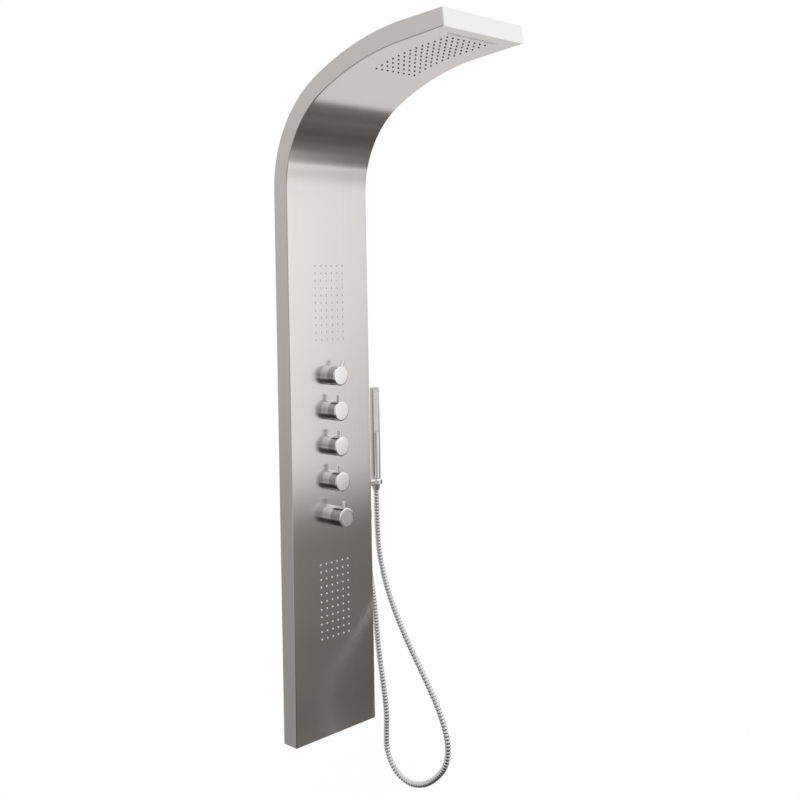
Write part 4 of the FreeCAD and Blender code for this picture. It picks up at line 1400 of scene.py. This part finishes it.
def crimp(start, way):
    """Ferrule outline from a hose's end inwards, with two pressed grooves."""
    shape = [(0.0, INNER_RADIUS - FERRULE_EDGE), (FERRULE_EDGE, INNER_RADIUS)]
    for groove in GROOVES:
        shape += [(groove, INNER_RADIUS), (groove + 0.4, INNER_RADIUS - GROOVE_DEPTH),
                  (groove + 1.2, INNER_RADIUS - GROOVE_DEPTH), (groove + 1.6, INNER_RADIUS)]
    shape += [(FERRULE_LENGTH - FERRULE_EDGE, INNER_RADIUS), (FERRULE_LENGTH, BRAID_RADIUS)]
    return [(start + way * along * MM, radius * MM) for along, radius in shape]


def braided_hose(name, points, side=(1, 0, 0)):
    """Hose along points in metres, in place of the construction's plain one."""
    path = Path(points)
    length, bore, inside = path.length, INNER_BORE * MM, FERRULE_LENGTH * MM
    steps = max(2, round(length / INNER_STEP))
    middle = [(inside + (length - 2 * inside) * step / steps, BRAID_RADIUS * MM)
              for step in range(1, steps)]
    profile = [(0.0, bore)] + crimp(0.0, 1) + middle + crimp(length, -1)[::-1]
    profile += [(length * (1 - step / steps), bore) for step in range(steps)]
    sides = INNER_SIDES
    piece = ring_tube(f"{name}_braided", path, profile, INNER_HOSE, sides, side)
    piece.data.materials.append(ZINC)
    unroll = piece.data.uv_layers.new(name="unrolled").data
    for polygon in piece.data.polygons:
        rings = [vertex // sides for vertex in polygon.vertices]
        places = [vertex % sides for vertex in polygon.vertices]
        wraps = max(places) - min(places) > 1
        for loop, ring, place in zip(polygon.loop_indices, rings, places):
            around = sides if wraps and place == 0 else place
            unroll[loop].uv = (around / sides, profile[ring][0])
        marks = [profile[ring][0] - inside for ring in rings]
        outside = min(profile[ring][1] for ring in rings) > bore
        braid = outside and min(marks) > -1e-6 and max(marks) < length - 2 * inside + 1e-6
        polygon.material_index = 0 if braid else 1
    sharpen(piece, 40)
    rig.replaces(piece, name)
    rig.slot(piece, "inner_hose")
    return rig.ride(piece, "root")


def riser_line(x, end):
    start = VALVE_TOP - FOOT_HEIGHT
    steps = round((end - start) / RISER_STEP)
    return [bent(x, start + (end - start) * step / steps, INNER_INSET)
            for step in range(steps + 1)]


def straight_line(start, end):
    start, end = Vector(start) * MM, Vector(end) * MM
    return [start.lerp(end, step / LINE_STEPS) for step in range(LINE_STEPS + 1)]


def upright_line(low, high):
    y = INNER_INSET - PANEL_DEPTH
    return straight_line((0, y, low), (0, y, high))


INNER_LINES = {
    "rain_hose": riser_line(-RISER_SIDE, FIELDS["rain"][0][1] - MAT_MARGIN),
    "waterfall_hose": riser_line(RISER_SIDE, SLOT_INLET),
    "upper_jet_hose": upright_line(VALVE_TOP, UPPER_JET_INLET),
    "lower_jet_hose": upright_line(LOWER_JET_INLET, VALVE_FOOT),
}
for name, points in INNER_LINES.items():
    braided_hose(name, points)
feed_ends = (FEED_START, *OUTLET_PLACE), (FEED_START + FEED_LENGTH, *OUTLET_PLACE)
braided_hose("handset_feed_hose", straight_line(*feed_ends), side=(0, 0, 1))
print("inner hoses:", len(INNER_LINES) + 1)

# %% [markdown]
# ## Knobs
#
# Every knob is a turned cap in front of a fixed ring, with a gap of 0.3 mm that reads as a
# dark line. A cylinder with rounded edges would do from afar, but a turned outline also holds
# the hub inside and the ring in the face of the thermostat, the long one at the foot. The
# first knob stands partly open, so its peg leans by 25 degrees. The middle of each face is
# satin and the edge round it polished. The grip's chrome is painted darker: a painted
# reflection of the darker room that the real one mirrors.

# %% Turned caps, rings and pegs
FACE_Y = -PANEL_DEPTH
KNOB_RADIUS = 22.5
KNOBS = [
    (f"knob_{number + 1}", KNOB_HEIGHTS[number], 12.0, 35.0, 25.0 if number == 0 else 0.0)
    for number in range(4)
] + [("thermostat", KNOB_HEIGHTS[4], 15.0, 45.0, 0.0)]
TURNING_GAP = 0.3
CAP_WALL, CAP_FRONT, CAP_EDGE = 2.5, 3.0, 3.4
SLEEVE_WALL, NECK_LENGTH, COLLAR_HOLE = 2.0, 10.0, 11.1
PEG_RADIUS, PEG_LENGTH, PEG_SETBACK = 4.5, 14.0, 10.0
HUB_RADIUS, HUB_SETBACK, STEM_RADIUS = 7.0, 3.0, 2.5
SPINDLE_RADIUS, SPINDLE_TOP = 4.1, 4.0
# The ring round the middle of the thermostat's face: (distance from the edge, depth).
FACE_GROOVE = ((4.6, 0), (4.3, 0.35), (3.9, 0.35), (3.6, 0))


def face_rings(back, is_thermostat):
    """Outline of a cap from the axis over its face to the hub inside."""
    outline = [(0, 0, 0)]
    if is_thermostat:
        outline += [(KNOB_RADIUS - margin, depth, 0.1) for margin, depth in FACE_GROOVE]
    inner, hub = KNOB_RADIUS - CAP_WALL, back - HUB_SETBACK
    return outline + [
        (KNOB_RADIUS, 0, CAP_EDGE), (KNOB_RADIUS, back, 0.35), (inner, back, 0.2),
        (inner, CAP_FRONT, 0.5), (HUB_RADIUS, CAP_FRONT, 0), (HUB_RADIUS, hub, 0.2),
        (SPINDLE_RADIUS, hub, 0), (SPINDLE_RADIUS, SPINDLE_TOP, 0), (0, SPINDLE_TOP, 0)]


def dress_knob(name, height, sleeve, length, turn):
    back = length - sleeve - TURNING_GAP
    is_thermostat = name == "thermostat"
    front = (0, (FACE_Y - length) * MM, height * MM)
    outline = face_rings(back, is_thermostat)
    cap = turned(f"{name}_turned", outline, front, (0, 1, 0), CHROME)
    satin_face_and_painted_grip(cap, SATIN if is_thermostat else BRIGHT_SATIN)
    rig.replaces(cap, f"{name}_cap")
    tilt = Matrix.Rotation(math.radians(turn), 3, "Y") @ Vector((0, 0, 1))
    base = (0, (FACE_Y - length + PEG_SETBACK) * MM, height * MM)
    foot, top = KNOB_RADIUS - 0.2, KNOB_RADIUS + PEG_LENGTH
    outline = [(0, HUB_RADIUS, 0), (STEM_RADIUS, HUB_RADIUS, 0), (STEM_RADIUS, foot, 0),
               (PEG_RADIUS, foot, 0), (PEG_RADIUS, top, 0.9), (0, top, 0)]
    stem = turned(f"{name}_finger", outline, base, tilt, CHROME, 40)
    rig.replaces(stem, f"{name}_peg")
    for piece in (cap, stem):
        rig.slot(piece, "chrome")
        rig.ride(piece, name)


def satin_face_and_painted_grip(cap, finish):
    """Satin middle of a knob's face and a darker grip as painted reflection; the rounded edge stays polished."""
    cap.data.materials.append(finish)
    cap.data.materials.append(GRIP_PAINTED_REFLECTION)
    places = [vertex.co for vertex in cap.data.vertices]
    front = min(place.y for place in places)
    middle = sum(place.z for place in places) / len(places)
    for polygon in cap.data.polygons:
        corners = [places[vertex] for vertex in polygon.vertices]
        reach = min(math.hypot(corner.x, corner.z - middle) for corner in corners)
        if len(corners) == 3 and max(corner.y for corner in corners) < front + 1e-5:
            polygon.material_index = 1
        # The grip takes the darker chrome, a painted reflection.
        if reach > (KNOB_RADIUS - 0.02) * MM:
            polygon.material_index = 2


def sleeve_ring(name, height, sleeve):
    """Fixed ring between the panel and a cap, with its web on the valve's neck."""
    inner = KNOB_RADIUS - SLEEVE_WALL
    web = sleeve - NECK_LENGTH
    outline = [(KNOB_RADIUS, 0, 0.35), (KNOB_RADIUS, sleeve, 0.2), (inner, sleeve, 0.2),
               (inner, web, 0.2), (COLLAR_HOLE, web, 0), (COLLAR_HOLE, 0, 0)]
    base = (0, (FACE_Y - sleeve) * MM, height * MM)
    return turned(name, outline, base, (0, 1, 0), CHROME)


for name, height, sleeve, length, turn in KNOBS:
    dress_knob(name, height, sleeve, length, turn)
    ring = sleeve_ring(f"{name}_ring", height, sleeve)
    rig.replaces(ring, "thermostat_sleeve" if name == "thermostat" else "volume_sleeves")
    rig.slot(ring, "chrome")
    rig.ride(ring, "root")
print("knobs:", [name for name, *_ in KNOBS])

# %% [markdown]
# ## Handset and ends of the hose
#
# The stick handset is a turned rod with one long flat. As a mill would, two cuts make the
# flat and the pocket of the pale spray plate, which has slanting rows of soft tips and is
# turned 24 degrees towards the user. The hose's cone sits in the holder's conical socket, so
# the handset lifts straight up out of it.

# %% Handset rod with its flat
HANDSET_AXIS = (165.0, -18.0)
HANDSET_RADIUS, HANDSET_FOOT, HANDSET_LENGTH = 11.75, -585.0, 220.0
HANDSET_BORE, HANDSET_CROWN = 6.0, 10.0
FLAT_DEPTH, FLAT_RUN, SPRAY_TURN = 9.5, 4.0, 24.0
PLATE_TOP = HANDSET_FOOT + HANDSET_LENGTH - 7.0
PLATE_FOOT = PLATE_TOP - 98.0
PLATE_WIDTH, PLATE_DEPTH, PLATE_PROUD = 12.0, 2.5, 0.4
PLATE_GAP, PLATE_RIM = 0.1, 0.35
SPRAY_ROWS, SPRAY_PITCH, SPRAY_COLUMN = 11, 8.0, 3.9
# Points (radius, height over the plate) of a spray tip, from its foot to its hole.
SPRAY_OUTLINE = ((1.2, -0.2), (1.2, 0.5), (0.95, 0.85), (0.45, 1.0), (0.3, 0.7), (0.0, 0.6))


def turned_out(x, y, z):
    """Place in mm on the untwisted handset, turned inwards about its axis, in metres."""
    spin = Matrix.Rotation(math.radians(-SPRAY_TURN), 2)
    offset = spin @ Vector((x, y))
    return Vector((HANDSET_AXIS[0] + offset.x, HANDSET_AXIS[1] + offset.y, z)) * MM


def turned_block(low, high):
    """Block of the handset, given from its axis, as vertices and faces."""
    (x0, y0, z0), (x1, y1, z1) = low, high
    corners = ((x0, y0), (x1, y0), (x1, y1), (x0, y1))
    vertices = [turned_out(x, y, z) for z in (z0, z1) for x, y in corners]
    return vertices, ring_faces([0, 1, 2, 3], [4, 5, 6, 7]) + [(3, 2, 1, 0), (4, 5, 6, 7)]


def handset_rod():
    top, crown = HANDSET_LENGTH, HANDSET_LENGTH - HANDSET_CROWN
    outline = [(0, crown, 0), (HANDSET_BORE, crown, 0), (HANDSET_BORE, 0, 0),
               (HANDSET_RADIUS, 0, 0.5), (HANDSET_RADIUS, top, 2.0), (0, top, 0)]
    foot = (HANDSET_AXIS[0] * MM, HANDSET_AXIS[1] * MM, HANDSET_FOOT * MM)
    rod = turned("handset_rod", outline, foot, (0, 0, 1), CHROME, 96)
    rod.modifiers.clear()
    half = PLATE_WIDTH / 2 + PLATE_GAP
    wide = HANDSET_RADIUS + 1
    tip = HANDSET_FOOT + HANDSET_LENGTH + 1
    cut(rod, [turned_block((-wide, -wide - 2, PLATE_FOOT - FLAT_RUN),
                           (wide, -FLAT_DEPTH, tip))])
    cut(rod, [turned_block((-half, -FLAT_DEPTH - 1, PLATE_FOOT),
                           (half, PLATE_DEPTH - FLAT_DEPTH, PLATE_TOP))])
    edge = rod.modifiers.new("edges", "BEVEL")
    edge.width, edge.segments, edge.limit_method = 0.00035, 2, "ANGLE"
    edge.angle_limit, edge.harden_normals = math.radians(35), False
    sharpen(rod, 30)
    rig.replaces(rod, "handset_body")
    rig.slot(rod, "chrome")
    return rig.ride(rod, "handset")


def spray_plate():
    """Plate with a softened rim and slanting rows of domed tips."""
    half, rim = PLATE_WIDTH / 2, PLATE_RIM
    face = -FLAT_DEPTH - PLATE_PROUD
    foot, top = PLATE_FOOT + PLATE_GAP, PLATE_TOP - PLATE_GAP
    vertices = []
    for grow, y in ((0, PLATE_DEPTH - FLAT_DEPTH), (0, face + rim),
                    (-rim * 0.35, face + rim * 0.35), (-rim, face)):
        for x, z in ((-1, foot - grow), (1, foot - grow), (1, top + grow), (-1, top + grow)):
            vertices.append(turned_out(x * (half + grow), y, z))
    rings = [list(range(first, first + 4)) for first in range(0, len(vertices), 4)]
    faces = [tuple(rings[0][::-1]), tuple(rings[-1])] + row_faces(rings)
    shapes = [(vertices, faces)]
    middle = (PLATE_FOOT + PLATE_TOP) / 2
    for row in range(SPRAY_ROWS):
        z = middle + (row - (SPRAY_ROWS - 1) / 2) * SPRAY_PITCH
        for column in (-1, 0, 1):
            shapes.append(spray_tip(column * SPRAY_COLUMN, z + column * SPRAY_PITCH / 3, face))
    plate = joined("spray_face", shapes, SPRAY_PLASTIC)
    plate.data.materials.append(SPRAY_SILICONE)
    for polygon in plate.data.polygons:
        polygon.material_index = 0 if polygon.index < len(faces) else 1
    sharpen(plate, 40)
    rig.replaces(plate, "handset_spray_plate")
    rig.slot(plate, "spray_plastic")
    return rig.ride(plate, "handset")


def spray_tip(x, z, face):
    """One domed tip of the spray plate."""
    def place(radius, rise, angle):
        across, up = radius * math.cos(angle), radius * math.sin(angle)
        return turned_out(x + across, face - rise, z + up)

    vertices, rings = carried_round(SPRAY_OUTLINE, TIP_SIDES, place)
    return vertices, row_faces(rings)


handset_rod()
spray_plate()
print("spray tips:", 3 * SPRAY_ROWS)

# %% Cone and hose nut
CONE_LENGTH, CONE_END_RADIUS = 29.0, 8.5
OUTLET_AXIS, NUT_FOOT = (140.0, -12.0), -684.0
NUT_RADIUS, NUT_LENGTH, NUT_SOCKET, NUT_WEB = 10.3, 22.0, 7.9, 10.0
BORE = HOSE_BORE_RADIUS / MM


def turned_upright(name, outline, axis_place, foot, replaced, body):
    base = (axis_place[0] * MM, axis_place[1] * MM, foot * MM)
    piece = turned(name, outline, base, (0, 0, 1), CHROME)
    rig.replaces(piece, replaced)
    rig.slot(piece, "chrome")
    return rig.ride(piece, body)


turned_upright("cone_nut", [
    (BORE, 0, 0), (CONE_END_RADIUS, 0, 0.8), (HANDSET_RADIUS, CONE_LENGTH, 0.4),
    (BORE, CONE_LENGTH, 0),
], HANDSET_AXIS, HANDSET_FOOT - CONE_LENGTH, "hose_cone_nut", "handset")
turned_upright("swivel_nut", [
    (BORE, 0, 0), (NUT_RADIUS - 1, 0, 0.4), (NUT_RADIUS, 3.0, 0.6), (NUT_RADIUS, NUT_LENGTH, 0.7),
    (NUT_SOCKET, NUT_LENGTH, 0.2), (NUT_SOCKET, NUT_WEB, 0), (BORE, NUT_WEB, 0),
], OUTLET_AXIS, NUT_FOOT, "hose_end_nut", "root")
print("turned on the hose's ends: cone and swivel nut")

# %% [markdown]
# ## Softer edges on the construction
#
# Pressed, cast and moulded pieces never have knife edges. The remaining pieces keep their
# shape and get a narrow rounding, so that each edge catches a line of light. A modifier does
# this without a change to the meshes that the frame brings.

# %% Narrow rounding of the construction's edges


def soften(name, width, angle=40, segments=2):
    """Round the edges of a CAD node by a modifier; its own mesh stays."""
    piece = nodes[name]
    for polygon in piece.data.polygons:
        polygon.use_smooth = True
    edge = piece.modifiers.new("soft_edges", "BEVEL")
    edge.width, edge.segments = width, segments
    edge.limit_method, edge.angle_limit = "ANGLE", math.radians(angle)
    edge.use_clamp_overlap = True
    edge.harden_normals = False
    weighted = piece.modifiers.new("weighted_normals", "WEIGHTED_NORMAL")
    weighted.keep_sharp = True
    return piece


EDGES = {  # width of each rounding, in metres
    "head_end_cap": 0.003, "bottom_cap": 0.0004, "waterfall_spout": 0.00025,
    "upper_wall_bracket": 0.0004, "lower_wall_bracket": 0.0004, "upper_hanger_bar": 0.0004,
    "lower_hanger_bar": 0.0004, "valve_manifold": 0.0006, "handset_holder": 0.0005,
    "rain_box": 0.0006, "upper_jet_box": 0.0006, "lower_jet_box": 0.0006,
}
for name, width in EDGES.items():
    soften(name, width)
print("softened:", len(EDGES))

# %% Sizes for comparison, written to extents.json
visual_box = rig.bounds()
with open("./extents.json", "w") as out:
    json.dump({"cad": [list(corner) for corner in cad_box],
               "visual": [list(corner) for corner in visual_box]}, out)
